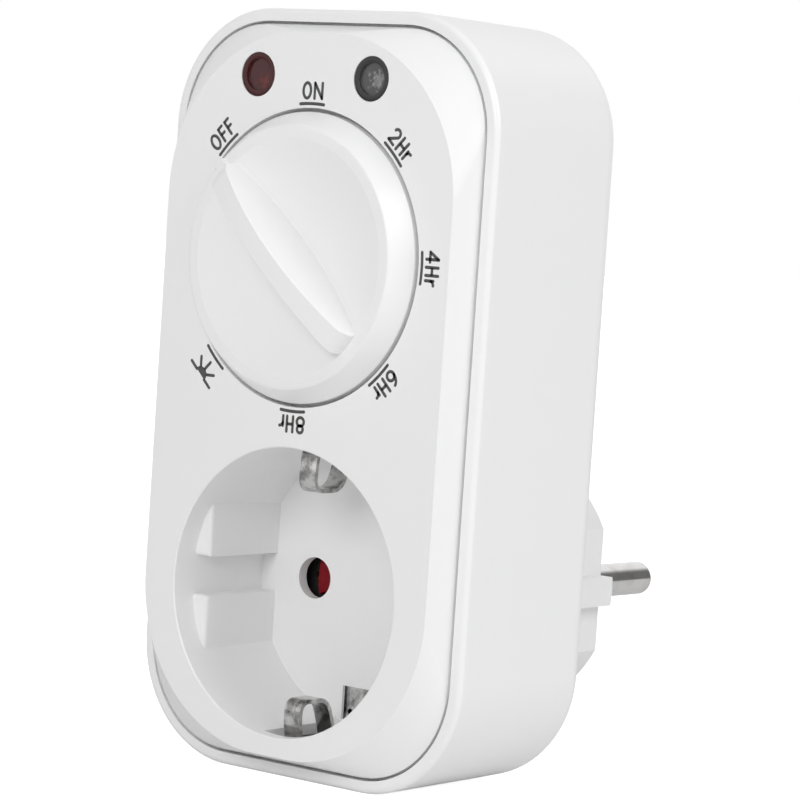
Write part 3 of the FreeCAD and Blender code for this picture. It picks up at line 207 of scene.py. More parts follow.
# Dial: a round hand wheel with a dished face, a bowed grip across it and a nub that points.
# It is moulded in white and pushed on the switch's flatted shaft from the front.
dial_white = shaded("dial white", moulded_skin, {
    "Colour": grey(0.92), "Shade": grey(0.916), "Cloud size": 30 * MM, "Grain size": 0.12 * MM,
    "Glossy": 0.27, "Dull": 0.31}, 0.001 * MM)
moulded("dial_knob", 0.3 * MM, dial_white, crisp_angle=14)

# Marks round the dial: the switch positions, printed on the cover in dark grey ink.
# Each label stands on a short arc that follows the dial, with its top outwards.
# The last position has a half sun, for switching by daylight.
stroke = 0.42 * MM
film = 0.02 * MM
letter_height = 2.46 * MM - stroke
small_height = 1.75 * MM - stroke
letter_gap = 0.27 * MM
label_radius = 21.2 * MM
underline_radius = 20.5 * MM
underline_half = 2.05 * MM
sun_radius = 24.0 * MM
sun_disc = 1.1 * MM
ray_start = 1.0 * MM
ray_end = 2.45 * MM
dial_centre = Vector((0, 0, sum(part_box("dial_knob")[i][2] for i in (0, 1)) / 2))
face_y = min(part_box("front_cover")[0][1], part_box("front_cover")[1][1])


def bow(x, y, half_width, half_height, start, end, steps=18):
    # Points along part of an ellipse, in millimetres, from one angle to another.
    points = []
    for step in range(steps + 1):
        angle = math.radians(start + (end - start) * step / steps)
        points.append((x + half_width * math.cos(angle), y + half_height * math.sin(angle)))
    return points


top = letter_height / MM
low = small_height / MM
letters = {
    "O": (1.30, [bow(0.65, top / 2, 0.65, top / 2, 90, 450, 32)]),
    "F": (0.80, [[(0, 0), (0, top)], [(0, top), (0.8, top)], [(0, 0.52 * top), (0.7, 0.52 * top)]]),
    "N": (1.30, [[(0, 0), (0, top)], [(0, top), (1.3, 0)], [(1.3, 0), (1.3, top)]]),
    "H": (1.05, [[(0, 0), (0, top)], [(1.05, 0), (1.05, top)], [(0, top / 2), (1.05, top / 2)]]),
    "r": (0.60, [[(0, 0), (0, low)], bow(0.6, low - 0.6, 0.6, 0.6, 180, 90)]),
    "2": (1.15, [bow(0.56, top - 0.56, 0.56, 0.56, 165, -35) + [(0, 0)], [(0, 0), (1.15, 0)]]),
    "4": (1.30, [[(0.95, 0), (0.95, top)], [(0.95, top), (0, 0.6)], [(0, 0.6), (1.3, 0.6)]]),
    "6": (1.20, [bow(0.6, 0.62, 0.6, 0.62, 0, 360, 28), bow(0.95, 0.62, 0.95, top - 0.62, 180, 100)]),
    "8": (1.23, [bow(0.615, 0.57, 0.615, 0.57, 90, 450, 28),
                 bow(0.615, top - 0.485, 0.5, 0.485, -90, 270, 26)]),
}
labels = {"OFF": 135, "ON": 90, "2Hr": 45, "4Hr": 0, "6Hr": -45, "8Hr": -90}
sun_angle = -135


def on_panel(across, out, angle):
    # A place on the panel, given across and outwards from the dial's centre at one angle.
    turn = math.radians(angle)
    x = out * math.cos(turn) + across * math.sin(turn)
    z = out * math.sin(turn) - across * math.cos(turn)
    return dial_centre + Vector((x, 0, z))


def mark_lines():
    lines = []
    for text, angle in labels.items():
        widths = [letters[sign][0] * MM + stroke for sign in text]
        length = sum(widths) + letter_gap * (len(text) - 1)
        start = -length / 2 + stroke / 2
        for sign, width in zip(text, widths):
            for line in letters[sign][1]:
                lines.append([on_panel(start + x * MM, label_radius + y * MM, angle) for x, y in line])
            start += width + letter_gap
    spread = math.degrees(underline_half / underline_radius)
    for angle in [*labels.values(), sun_angle]:
        arc = [angle + spread * step / 8 for step in range(-8, 9)]
        lines.append([on_panel(0, underline_radius, turn) for turn in arc])
    for turn in range(0, -181, -45):
        along = math.cos(math.radians(turn))
        inward = math.sin(math.radians(turn))
        lines.append([on_panel(reach * along, sun_radius + reach * inward, sun_angle)
                      for reach in (ray_start, ray_end)])
    return lines


# The round ends are a hair smaller than the strokes, so that their faces don't coincide.
end_radius_share = 0.498
end_film_share = 0.96
end_sides = 20


def mark_tree():
    # Flat strokes with round ends along every line of the curve.
    tree = bpy.data.node_groups.new("mark strokes", "GeometryNodeTree")
    tree.interface.new_socket(name="Geometry", in_out="OUTPUT", socket_type="NodeSocketGeometry")
    tree.interface.new_socket(name="Lines", in_out="INPUT", socket_type="NodeSocketGeometry")
    for label, kind in (("Stroke", "NodeSocketFloat"), ("Film", "NodeSocketFloat"),
                        ("Ink", "NodeSocketMaterial")):
        tree.interface.new_socket(name=label, in_out="INPUT", socket_type=kind)
    given = add(tree, "NodeGroupInput").outputs
    flat = add(tree, "GeometryNodeCurvePrimitiveQuadrilateral",
               {"Width": given["Film"], "Height": given["Stroke"]})
    turned = add(tree, "GeometryNodeSetCurveNormal", {"Curve": given["Lines"], "Normal": (0, 1, 0)},
                 mode="FREE")
    strokes = add(tree, "GeometryNodeCurveToMesh", {"Curve": turned.outputs[0],
                                                    "Profile Curve": flat.outputs[0],
                                                    "Fill Caps": True})
    radius = add(tree, "ShaderNodeMath", operation="MULTIPLY")
    tree.links.new(given["Stroke"], radius.inputs[0])
    radius.inputs[1].default_value = end_radius_share
    thin = add(tree, "ShaderNodeMath", operation="MULTIPLY")
    tree.links.new(given["Film"], thin.inputs[0])
    thin.inputs[1].default_value = end_film_share
    dot = add(tree, "GeometryNodeMeshCylinder", {"Vertices": end_sides, "Radius": radius.outputs[0],
                                                 "Depth": thin.outputs[0]})
    ends = add(tree, "GeometryNodeCurveEndpointSelection")
    round_ends = add(tree, "GeometryNodeInstanceOnPoints", {
        "Points": given["Lines"], "Selection": ends.outputs[0], "Instance": dot.outputs[0],
        "Rotation": (math.pi / 2, 0, 0)})
    together = add(tree, "GeometryNodeJoinGeometry")
    tree.links.new(strokes.outputs[0], together.inputs[0])
    tree.links.new(round_ends.outputs[0], together.inputs[0])
    real = add(tree, "GeometryNodeRealizeInstances", {"Geometry": together.outputs[0]})
    inked = add(tree, "GeometryNodeSetMaterial", {"Geometry": real.outputs[0], "Material": given["Ink"]})
    add(tree, "NodeGroupOutput", {"Geometry": inked.outputs[0]})
    return tree


def set_input(modifier, label, value):
    for item in modifier.node_group.interface.items_tree:
        if item.in_out == "INPUT" and item.name == label:
            modifier[item.identifier] = value


mark_ink = shaded("mark ink", moulded_skin, {
    "Colour": grey(0.075), "Shade": grey(0.06), "Cloud size": 1.5 * MM, "Grain size": 0.08 * MM,
    "Glossy": 0.4, "Dull": 0.6}, 0.001 * MM)
curve = bpy.data.curves.new("mark_lines", "CURVE")
curve.dimensions = "3D"
for line in mark_lines():
    spline = curve.splines.new("POLY")
    spline.points.add(len(line) - 1)
    for point, place in zip(spline.points, line):
        point.co = (place.x, face_y, place.z, 1)
drawn = bpy.data.objects.new("mark_lines", curve)
bpy.context.scene.collection.objects.link(drawn)
inking = drawn.modifiers.new("inking", "NODES")
inking.node_group = mark_tree()
set_input(inking, "Stroke", stroke)
set_input(inking, "Film", 2 * film)
set_input(inking, "Ink", mark_ink)
marks_mesh = bpy.data.meshes.new_from_object(drawn.evaluated_get(bpy.context.evaluated_depsgraph_get()))
bpy.data.objects.remove(drawn)
sun = bmesh.new()
sun.from_mesh(marks_mesh)
rim = [on_panel(sun_disc * math.cos(math.radians(a)), sun_radius + sun_disc * math.sin(math.radians(a)),
                sun_angle) for a in range(0, -181, -10)]
front = [sun.verts.new((p.x, face_y - film, p.z)) for p in rim]
back = [sun.verts.new((p.x, face_y + film, p.z)) for p in rim]
disc = [sun.faces.new(front), sun.faces.new(list(reversed(back)))]
for i in range(len(rim)):
    j = (i + 1) % len(rim)
    disc.append(sun.faces.new((front[j], front[i], back[i], back[j])))
bmesh.ops.recalc_face_normals(sun, faces=disc)
for face in sun.faces:
    face.material_index = 0
sun.to_mesh(marks_mesh)
sun.free()
marks_mesh.materials.clear()
marks_mesh.materials.append(mark_ink)
marks = bpy.data.objects.new("dial_marks", marks_mesh)
bpy.context.scene.collection.objects.link(marks)
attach(marks, BODY["front_cover"])

# Signal lens and light window: two small round clear mouldings let into holes above the dial.
# Each has a shallow dish in its front and a flange behind, which stops it in the cover.
# The left one is deep red, the right one smoke grey with the light cell behind it.


dish_radius = 2.0 * MM
flange_radius = 2.3 * MM
# Speck size, and the fade and thresholds of the painted highlight round the glint point.
speck_and_flaw_scale = 1800
glint_fade = -200
glint_speck_low = 0.20
glint_speck_high = 0.52


def lens_finish(name, node, ring, disc, light, glint, **fixed):
    # Dark where the flange stands behind the rim, lighter in the dish, and a painted highlight: bright
    # specks that gather round one glint point and fade away from it.
    lowest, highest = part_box(node)
    centre = [(a + b) / 2 for a, b in zip(lowest, highest)]
    material = bpy.data.materials.new(name)
    material.use_nodes = True
    tree = material.node_tree
    shader = tree.nodes["Principled BSDF"]
    place = add(tree, "ShaderNodeTexCoord").outputs["Object"]
    moved = add(tree, "ShaderNodeMapping", {"Vector": place, "Location": [-c for c in centre]})
    flat = add(tree, "ShaderNodeVectorMath", {0: moved.outputs[0], 1: (1, 0, 1)}, operation="MULTIPLY")
    radius = add(tree, "ShaderNodeVectorMath", {0: flat.outputs[0]}, operation="LENGTH")
    inner = add(tree, "ShaderNodeMapRange", {"Value": radius.outputs["Value"], "From Min": dish_radius,
                                             "From Max": flange_radius}, interpolation_type="SMOOTHSTEP")
    glint_specks_and_flaws = add(tree, "ShaderNodeTexNoise", {"Vector": moved.outputs[0], "Scale": speck_and_flaw_scale,
                                             "Detail": 4})
    # Painted highlight: noise specks, strongest at the glint point and fading with distance from it; the
    # mask below mixes in the highlight colour.
    aside = add(tree, "ShaderNodeVectorMath", {0: flat.outputs[0], 1: glint}, operation="DISTANCE")
    painted_glint = add(tree, "ShaderNodeMath", {0: aside.outputs["Value"], 1: glint_fade, 2: glint_specks_and_flaws.outputs["Fac"]},
              operation="MULTIPLY_ADD")
    bright = add(tree, "ShaderNodeMapRange", {"Value": painted_glint.outputs[0], "From Min": glint_speck_low,
                                              "From Max": glint_speck_high}, interpolation_type="SMOOTHSTEP")
    middle = add(tree, "ShaderNodeMix", {0: bright.outputs[0], 6: disc, 7: light}, data_type="RGBA")
    whole = add(tree, "ShaderNodeMix", {0: inner.outputs[0], 6: middle.outputs[2], 7: ring},
                data_type="RGBA")
    gloss = add(tree, "ShaderNodeMapRange", {"Value": glint_specks_and_flaws.outputs["Fac"], "To Min": 0.05,
                                             "To Max": 0.16})
    tree.links.new(whole.outputs[2], shader.inputs["Base Color"])
    tree.links.new(gloss.outputs[0], shader.inputs["Roughness"])
    for label, value in fixed.items():
        shader.inputs[label.replace("_", " ")].default_value = value
    return material


# The third colour of each lens is its painted highlight, laid as specks round the glint point given after
# it.
red_lens = lens_finish("red lens", "status_lens", (0.075, 0.010, 0.011, 1), (0.088, 0.020, 0.022, 1),
                       (0.20, 0.030, 0.030, 1), (0.8 * MM, 0, -1.0 * MM), Transmission_Weight=0.25,
                       Specular_IOR_Level=0.3)
clear_lens = lens_finish("smoke lens", "sensor_window", grey(0.036), grey(0.11), grey(0.38),
                         (0.6 * MM, 0, -0.2 * MM), Transmission_Weight=0.25, Specular_IOR_Level=0.4)
moulded("status_lens", 0.12 * MM, red_lens)
moulded("sensor_window", 0.12 * MM, clear_lens)

# Earth straps: two bent strips of plated spring steel, one above and one below the socket.
# Each is a clip in the recess in front and lies bare in the plug's groove behind.


def drawn_metal_group():
    # Streaks of rolling or turning and soft tarnish.
    tree, given, results = new_group("drawn metal", [
        ("Colour", "NodeSocketColor", (0.7, 0.7, 0.7, 1)),
        ("Tarnish", "NodeSocketColor", (0.5, 0.5, 0.5, 1)),
        ("Streaks", "NodeSocketVector", (8000, 300, 300)),
        ("Tarnish size", "NodeSocketFloat", 3 * MM),
        ("Bright", "NodeSocketFloat", 0.12),
        ("Dull", "NodeSocketFloat", 0.3),
    ], [("Colour", "NodeSocketColor"), ("Roughness", "NodeSocketFloat"), ("Height", "NodeSocketFloat")])
    place = add(tree, "ShaderNodeTexCoord").outputs["Object"]
    drawn_out = add(tree, "ShaderNodeVectorMath", operation="MULTIPLY")
    tree.links.new(place, drawn_out.inputs[0])
    tree.links.new(given["Streaks"], drawn_out.inputs[1])
    streaks = add(tree, "ShaderNodeTexNoise", {"Vector": drawn_out.outputs[0], "Scale": 1,
                                               "Detail": 4, "Roughness": 0.65})
    per_patch = add(tree, "ShaderNodeMath", operation="DIVIDE")
    per_patch.inputs[0].default_value = 1
    tree.links.new(given["Tarnish size"], per_patch.inputs[1])
    patches = add(tree, "ShaderNodeTexNoise", {"Vector": place, "Scale": per_patch.outputs[0],
                                               "Detail": 5, "Roughness": 0.6})
    stained = add(tree, "ShaderNodeMapRange", {"Value": patches.outputs["Fac"], "From Min": 0.42,
                                               "From Max": 0.7})
    tone = add(tree, "ShaderNodeMix", {0: stained.outputs[0], 6: given["Colour"], 7: given["Tarnish"]},
               data_type="RGBA")
    blended = add(tree, "ShaderNodeMath", {0: streaks.outputs["Fac"], 1: patches.outputs["Fac"]},
                  operation="MULTIPLY")
    gloss = add(tree, "ShaderNodeMapRange", {"Value": blended.outputs[0], "From Min": 0.12,
                                             "From Max": 0.42, "To Min": given["Bright"],
                                             "To Max": given["Dull"]})
    tree.links.new(tone.outputs[2], results["Colour"])
    tree.links.new(gloss.outputs[0], results["Roughness"])
    tree.links.new(streaks.outputs["Fac"], results["Height"])
    return tree


drawn_metal = drawn_metal_group()


def metal(name, colour, tarnish, streaks, bright, dull, depth=0.0008 * MM, patch=3 * MM):
    return shaded(name, drawn_metal, {
        "Colour": colour, "Tarnish": tarnish, "Streaks": streaks, "Tarnish size": patch,
        "Bright": bright, "Dull": dull}, depth, Metallic=1.0)


# The strips' second colour is near black, so their random patches come out dark.
nickel_strip = metal("nickel strip", grey(0.64, 0.004), grey(0.05, 0.004), (9000, 500, 500), 0.08, 0.26,
                     patch=2.2 * MM)
for strap in ("earth_strap_upper", "earth_strap_lower"):
    moulded(strap, 0.1 * MM, nickel_strip)

# Plug pins: two turned brass pins, bright nickel plated, with rounded tips.
# Each is held in the plug's end wall by a shoulder and a flange behind it.
nickel_pin = metal("nickel pin", grey(0.74, 0.008), grey(0.60, 0.012), (400, 12000, 400), 0.1, 0.22)
for pin in ("line_pin", "neutral_pin"):
    moulded(pin, 0.1 * MM, nickel_pin, 40)

# Case screws: four cross-head screws that close the case from behind, zinc plated.
# Their heads stand at the bottom of the four wells in the corners of the back.
zinc = metal("zinc plate", grey(0.62), grey(0.42, -0.01), (2500, 2500, 2500), 0.22, 0.42)
moulded("case_screws", 0.08 * MM, zinc, 40)

# Safety shutter: a turning disc behind the pin holes, moulded in red, with its return spring.
# Its two lobes cover the inner half of each hole until a plug's pins push them aside.
shutter_red = shaded("shutter red", moulded_skin, {
    "Colour": (0.15, 0.003, 0.008, 1), "Shade": (0.24, 0.005, 0.011, 1), "Cloud size": 3 * MM,
    "Grain size": 0.1 * MM, "Glossy": 0.3, "Dull": 0.42}, 0.001 * MM, Specular_IOR_Level=0.15)
moulded("safety_shutter", 0.12 * MM, shutter_red)


def give(material, *nodes):
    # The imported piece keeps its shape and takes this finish.
    for node in nodes:
        piece = frame["nodes"][node]
        if not piece.material_slots:
            piece.data.materials.append(material)
        for slot in piece.material_slots:
            slot.material = material


spring_wire = metal("spring wire", grey(0.55), grey(0.42), (3000, 3000, 3000), 0.2, 0.35)
give(spring_wire, "shutter_spring")

# Socket contacts: slit brass sleeves in a carrier, and the links that join them to the plug.
# The carrier is a heat-resistant moulding that stands between the recess and the back wall.
carrier_black = shaded("carrier plastic", moulded_skin, {
    "Colour": grey(0.014), "Shade": grey(0.02), "Cloud size": 6 * MM,
    "Grain size": 0.1 * MM, "Glossy": 0.45, "Dull": 0.6}, 0.0015 * MM)
bronze = metal("spring bronze", (0.60, 0.42, 0.22, 1), (0.38, 0.24, 0.12, 1), (500, 7000, 500), 0.2, 0.4)
give(carrier_black, "contact_carrier", "pin_retainer")
give(bronze, "line_receptacle", "neutral_receptacle", "earth_link", "neutral_link")

# Rotary switch: a cup with a rotor, a wiper and eight contact pads, one for each position.
# A sprung ball drops into the rotor's notches, so that the dial clicks from mark to mark.
black_moulding = shaded("black moulding", moulded_skin, {
    "Colour": grey(0.022), "Shade": grey(0.03), "Cloud size": 5 * MM, "Grain size": 0.1 * MM,
    "Glossy": 0.38, "Dull": 0.55}, 0.0015 * MM)
grey_moulding = shaded("grey moulding", moulded_skin, {
    "Colour": grey(0.34), "Shade": grey(0.28), "Cloud size": 5 * MM, "Grain size": 0.1 * MM,
    "Glossy": 0.35, "Dull": 0.5}, 0.0012 * MM)
silver = metal("silver", grey(0.85, 0.01), grey(0.55, 0.04), (3000, 3000, 3000), 0.1, 0.3, patch=1 * MM)
give(black_moulding, "switch_housing")
give(grey_moulding, "switch_shaft", "switch_rotor")
give(bronze, "switch_wiper")
give(zinc, "switch_cover")
give(silver, "switch_contacts")
give(spring_wire, "detent_ball", "detent_spring")

# Control board: a green glass-epoxy board on four posts behind the dial, with four screws.
# Copper tracks show through the green mask as slightly raised, lighter lines.


track_scale = 260
track_fold = 0.55
track_near = 0.22
track_far = 0.26
weave_scale = 1400
weave_share = 0.15
weave_relief = 0.25


def board_finish():
    material = bpy.data.materials.new("board mask")
    material.use_nodes = True
    tree = material.node_tree
    shader = tree.nodes["Principled BSDF"]
    place = add(tree, "ShaderNodeTexCoord").outputs["Object"]
    lying = add(tree, "ShaderNodeMapping", {"Vector": place, "Rotation": (math.pi / 2, 0, 0)})
    cells = add(tree, "ShaderNodeTexVoronoi", {"Vector": lying.outputs[0], "Scale": track_scale,
                                                "Randomness": 0.8},
                distance="MANHATTAN", feature="F1")
    edges = add(tree, "ShaderNodeMath", {0: cells.outputs["Distance"], 1: track_fold}, operation="PINGPONG")
    track = add(tree, "ShaderNodeMapRange", {"Value": edges.outputs[0], "From Min": track_near,
                                              "From Max": track_far})
    weave = add(tree, "ShaderNodeTexWave", {"Vector": lying.outputs[0], "Scale": weave_scale,
                                            "Distortion": 0.6, "Detail": 1})
    mask = add(tree, "ShaderNodeMix", {0: track.outputs[0], 6: (0.010, 0.075, 0.028, 1),
                                       7: (0.022, 0.15, 0.05, 1)}, data_type="RGBA")
    cloth = add(tree, "ShaderNodeMix", {0: weave_share, 6: mask.outputs[2], 7: weave.outputs["Color"]},
                data_type="RGBA", blend_type="MULTIPLY")
    height = add(tree, "ShaderNodeMath", {0: weave.outputs["Fac"], 1: weave_relief, 2: track.outputs[0]},
                 operation="MULTIPLY_ADD")
    relief = add(tree, "ShaderNodeBump", {"Height": height.outputs[0], "Distance": 0.03 * MM})
    gloss = add(tree, "ShaderNodeMapRange", {"Value": track.outputs[0], "To Min": 0.32, "To Max": 0.2})
    tree.links.new(cloth.outputs[2], shader.inputs["Base Color"])
    tree.links.new(gloss.outputs[0], shader.inputs["Roughness"])
    tree.links.new(relief.outputs["Normal"], shader.inputs["Normal"])
    return material


give(board_finish(), "control_board")
give(zinc, "board_screws")

# Light parts: the signal lamp and the light cell stand on their leads behind the two windows.
led_red = shaded("diffused red epoxy", moulded_skin, {
    "Colour": (0.45, 0.02, 0.02, 1), "Shade": (0.36, 0.015, 0.015, 1), "Cloud size": 1 * MM,
    "Grain size": 0.1 * MM, "Glossy": 0.12, "Dull": 0.22}, 0.0005 * MM, Transmission_Weight=0.3)
cell_face = shaded("light cell", moulded_skin, {
    "Colour": (0.45, 0.25, 0.10, 1), "Shade": (0.30, 0.15, 0.06, 1), "Cloud size": 0.8 * MM,
    "Grain size": 0.2 * MM, "Glossy": 0.2, "Dull": 0.5}, 0.002 * MM)
give(led_red, "status_led")
give(cell_face, "light_sensor")

# Relay: a coil on a bobbin with its iron core and yoke under a clipped blue cover.
# The hinged armature carries a leaf with one contact, which closes on the fixed contact.


turn_scale = 2200
enamel_cloud_scale = 700


def winding_finish():
    # Fine enamelled wire laid turn by turn along the coil.
    material = bpy.data.materials.new("enamelled winding")
    material.use_nodes = True
    tree = material.node_tree
    shader = tree.nodes["Principled BSDF"]
    place = add(tree, "ShaderNodeTexCoord").outputs["Object"]
    turns = add(tree, "ShaderNodeTexWave", {"Vector": place, "Scale": turn_scale,
                                            "Distortion": 0.3, "Detail": 2}, bands_direction="X")
    clouds = add(tree, "ShaderNodeTexNoise", {"Vector": place, "Scale": enamel_cloud_scale})
    tone = add(tree, "ShaderNodeMix", {0: clouds.outputs["Fac"], 6: (0.55, 0.22, 0.09, 1),
                                       7: (0.38, 0.12, 0.05, 1)}, data_type="RGBA")
    gloss = add(tree, "ShaderNodeMapRange", {"Value": turns.outputs["Fac"], "To Min": 0.35,
                                             "To Max": 0.2})
    relief = add(tree, "ShaderNodeBump", {"Height": turns.outputs["Fac"], "Distance": 0.05 * MM})
    tree.links.new(tone.outputs[2], shader.inputs["Base Color"])
    tree.links.new(gloss.outputs[0], shader.inputs["Roughness"])
    tree.links.new(relief.outputs["Normal"], shader.inputs["Normal"])
    shader.inputs["Metallic"].default_value = 0.8
    return material


relay_blue = shaded("relay blue", moulded_skin, {
    "Colour": (0.03, 0.09, 0.28, 1), "Shade": (0.025, 0.07, 0.22, 1), "Cloud size": 6 * MM,
    "Grain size": 0.1 * MM, "Glossy": 0.22, "Dull": 0.32}, 0.001 * MM)
soft_iron = metal("soft iron", grey(0.45), grey(0.33, 0.01), (600, 5000, 5000), 0.25, 0.45)
give(winding_finish(), "relay_coil")
give(relay_blue, "relay_cover")
give(soft_iron, "relay_core", "relay_yoke", "relay_armature")
give(black_moulding, "relay_base")
give(grey_moulding, "relay_bobbin")
give(bronze, "relay_moving_contact")
give(silver, "relay_fixed_contact")

# Power and control parts on the board: dropper and smoothing capacitors, fuse and varistor,
# the controller chip, four diodes, three resistors and the transistor that drives the relay.
yellow_box = shaded("yellow box", moulded_skin, {
    "Colour": (0.72, 0.44, 0.05, 1), "Shade": (0.62, 0.36, 0.04, 1), "Cloud size": 5 * MM,
    "Grain size": 0.1 * MM, "Glossy": 0.25, "Dull": 0.38}, 0.001 * MM)
dipped_blue = shaded("dipped epoxy", moulded_skin, {
    "Colour": (0.03, 0.12, 0.38, 1), "Shade": (0.02, 0.09, 0.30, 1), "Cloud size": 2 * MM,
    "Grain size": 0.5 * MM, "Glossy": 0.2, "Dull": 0.35}, 0.01 * MM)
fuse_brown = shaded("fuse case", moulded_skin, {
    "Colour": (0.10, 0.05, 0.03, 1), "Shade": (0.08, 0.035, 0.02, 1), "Cloud size": 2 * MM,
    "Grain size": 0.1 * MM, "Glossy": 0.25, "Dull": 0.4}, 0.001 * MM)


lacquer_grain_scale = 1500


def banded_finish(name, node, axis, base, bands):
    # A body with rings of colour painted round it, each ring between two places along one axis.
    lowest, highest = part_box(node)
    middle = (lowest[axis] + highest[axis]) / 2
    material = bpy.data.materials.new(name)
    material.use_nodes = True
    tree = material.node_tree
    shader = tree.nodes["Principled BSDF"]
    place = add(tree, "ShaderNodeTexCoord").outputs["Object"]
    split = add(tree, "ShaderNodeSeparateXYZ", {0: place})
    grain = add(tree, "ShaderNodeTexNoise", {"Vector": place, "Scale": lacquer_grain_scale,
                                             "Detail": 3})
    tone = base
    for offset, width, colour in bands:
        away = add(tree, "ShaderNodeMath", {0: split.outputs[axis], 1: middle + offset},
                   operation="SUBTRACT")
        distance = add(tree, "ShaderNodeMath", {0: away.outputs[0]}, operation="ABSOLUTE")
        ring = add(tree, "ShaderNodeMath", {0: distance.outputs[0], 1: width / 2},
                   operation="LESS_THAN")
        mix = add(tree, "ShaderNodeMix", {0: ring.outputs[0], 6: tone, 7: colour}, data_type="RGBA")
        tone = mix.outputs[2]
    gloss = add(tree, "ShaderNodeMapRange", {"Value": grain.outputs["Fac"], "To Min": 0.3,
                                             "To Max": 0.45})
    relief = add(tree, "ShaderNodeBump", {"Height": grain.outputs["Fac"], "Distance": 0.002 * MM})
    tree.links.new(tone, shader.inputs["Base Color"])
    tree.links.new(gloss.outputs[0], shader.inputs["Roughness"])
    tree.links.new(relief.outputs["Normal"], shader.inputs["Normal"])
    return material


bare_lead = grey(0.55)
resistor_bands = [(-1.9 * MM, 0.6 * MM, (0.35, 0.02, 0.02, 1)), (-0.7 * MM, 0.6 * MM, (0.35, 0.16, 0.02, 1)),
                  (0.5 * MM, 0.6 * MM, (0.02, 0.02, 0.02, 1)), (2.0 * MM, 0.6 * MM, (0.5, 0.33, 0.08, 1))]
resistor_leads = [(s * 3.85 * MM, 1.3 * MM, bare_lead) for s in (-1, 1)]
give(banded_finish("resistor lacquer", "resistors", 0, (0.55, 0.40, 0.22, 1),
                   resistor_bands + resistor_leads), "resistors")
diode_leads = [(s * 2.9 * MM, 1.4 * MM, bare_lead) for s in (-1, 1)]
give(banded_finish("diode body", "diodes", 0, grey(0.02), [(-1.4 * MM, 0.7 * MM, grey(0.6))] + diode_leads),
     "diodes")
give(banded_finish("can sleeve", "smoothing_capacitor", 1, (0.012, 0.014, 0.05, 1),
                   [(5.7 * MM, 0.5 * MM, grey(0.6))]), "smoothing_capacitor")
give(yellow_box, "dropper_capacitor")
give(dipped_blue, "varistor")
give(fuse_brown, "fuse")
give(black_moulding, "microcontroller", "driver_transistor")

# Wires: three stranded wires in plain insulation, from the plug's pins to the board and back.
for node, colour in (("line_wire", (0.12, 0.05, 0.02)), ("load_wire", (0.015, 0.015, 0.015)),
                     ("neutral_wire", (0.02, 0.08, 0.32))):
    insulation = shaded(node.replace("_", " "), moulded_skin, {
        "Colour": (*colour, 1), "Shade": (*[0.8 * part for part in colour], 1), "Cloud size": 4 * MM,
        "Grain size": 0.2 * MM, "Glossy": 0.3, "Dull": 0.42}, 0.002 * MM)
    give(insulation, node)

# Floor, lamps and camera: a white floor, soft lamps before and beside the object and a soft sky.
# The sky's light comes mostly from above on the right. Metal also mirrors a dark card behind it.
# The camera stands where the picture was taken, to the right of the front, tilted a little.
floor_half = 2.5
paper_lift = 0.9
floor_z = cad_box[0][2]
floor_mesh = bpy.data.meshes.new("floor")
floor_mesh.from_pydata([(-floor_half, -floor_half, floor_z), (floor_half, -floor_half, floor_z),
                        (floor_half, floor_half, floor_z), (-floor_half, floor_half, floor_z)],
                       [], [(0, 1, 2, 3)])
floor = bpy.data.objects.new("floor", floor_mesh)
bpy.context.scene.collection.objects.link(floor)
paper = bpy.data.materials.new("paper")
paper.use_nodes = True
tree = paper.node_tree
shader = tree.nodes["Principled BSDF"]
shader.inputs["Base Color"].default_value = grey(0.9)
shader.inputs["Roughness"].default_value = 0.9
shader.inputs["Emission Color"].default_value = grey(1.0)
path = add(tree, "ShaderNodeLightPath")
lift = add(tree, "ShaderNodeMath", {0: path.outputs["Is Camera Ray"], 1: paper_lift}, operation="MULTIPLY")
tree.links.new(lift.outputs[0], shader.inputs["Emission Strength"])
floor_mesh.materials.append(paper)

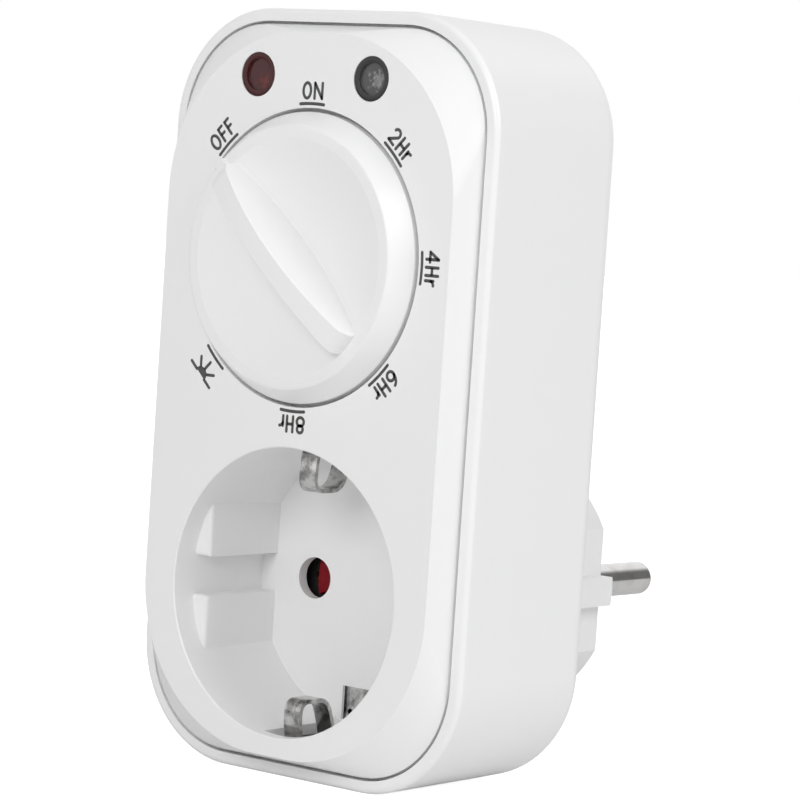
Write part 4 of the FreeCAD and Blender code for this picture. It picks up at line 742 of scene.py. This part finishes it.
sky_towards = (0.48, -0.15, 0.86)
sky_dim = 0.18
sky_bright = 0.54
card_towards = (0.56, 0.80, 0.21)
card_rim = 0.80
card_middle = 0.96
card_tone = 0.18
world = bpy.data.worlds.new("studio")
bpy.context.scene.world = world
world.use_nodes = True
tree = world.node_tree
path = add(tree, "ShaderNodeLightPath")
direction = add(tree, "ShaderNodeTexCoord").outputs["Generated"]
toward = add(tree, "ShaderNodeVectorMath", {0: direction, 1: sky_towards}, operation="DOT_PRODUCT")
soft = add(tree, "ShaderNodeMapRange", {"Value": toward.outputs["Value"], "From Min": -1, "From Max": 1,
                                        "To Min": sky_dim, "To Max": sky_bright})
card = add(tree, "ShaderNodeVectorMath", {0: direction, 1: card_towards}, operation="DOT_PRODUCT")
mirror = add(tree, "ShaderNodeMapRange", {"Value": card.outputs["Value"], "From Min": card_rim,
                                          "From Max": card_middle, "To Min": 1.0,
                                          "To Max": card_tone},
             interpolation_type="SMOOTHSTEP")
seen = add(tree, "ShaderNodeMath", {0: path.outputs["Is Camera Ray"],
                                    1: path.outputs["Is Transmission Ray"]}, operation="MAXIMUM")
level = add(tree, "ShaderNodeMix", {0: path.outputs["Is Glossy Ray"], 2: soft.outputs[0],
                                    3: mirror.outputs[0]}, data_type="FLOAT")
shown = add(tree, "ShaderNodeMix", {0: seen.outputs[0], 2: level.outputs[0], 3: 1.0}, data_type="FLOAT")
sky = tree.nodes["Background"]
tree.links.new(shown.outputs[0], sky.inputs["Color"])


lamp_aim = Vector((0, 0, 0.03))


def lamp(name, place, size, power):
    light = bpy.data.lights.new(name, "AREA")
    light.size = size
    light.energy = power
    holder = bpy.data.objects.new(name, light)
    bpy.context.scene.collection.objects.link(holder)
    turn = (lamp_aim - Vector(place)).to_track_quat("-Z", "Y")
    holder.matrix_world = Matrix.Translation(place) @ turn.to_matrix().to_4x4()


lamp("front", (0.22, -0.74, 0.34), 0.36, 1.95)
lamp("side", (0.72, 0.02, 0.52), 0.45, 2.2)

aim = Vector((0.277, -9.791, 25.801)) * MM
view_distance = 474.973 * MM
azimuth = math.radians(-39.112)
dip = math.radians(3.596)
roll = math.radians(3.802)
view = Vector((math.sin(azimuth) * math.cos(dip), math.cos(azimuth) * math.cos(dip), -math.sin(dip)))
level_right = view.cross(Vector((0, 0, 1))).normalized()
level_up = level_right.cross(view)
right = level_right * math.cos(roll) + level_up * math.sin(roll)
up = right.cross(view)
lens = bpy.data.cameras.new("camera")
lens.sensor_width = 36
lens.lens = 154.5443
lens.clip_start = 0.01
camera = bpy.data.objects.new("camera", lens)
bpy.context.scene.collection.objects.link(camera)
camera.matrix_world = Matrix.Translation(aim - view * view_distance) @ Matrix(
    (right, up, -view)).transposed().to_4x4()
bpy.context.scene.camera = camera
bpy.context.scene.view_settings.view_transform = "Standard"
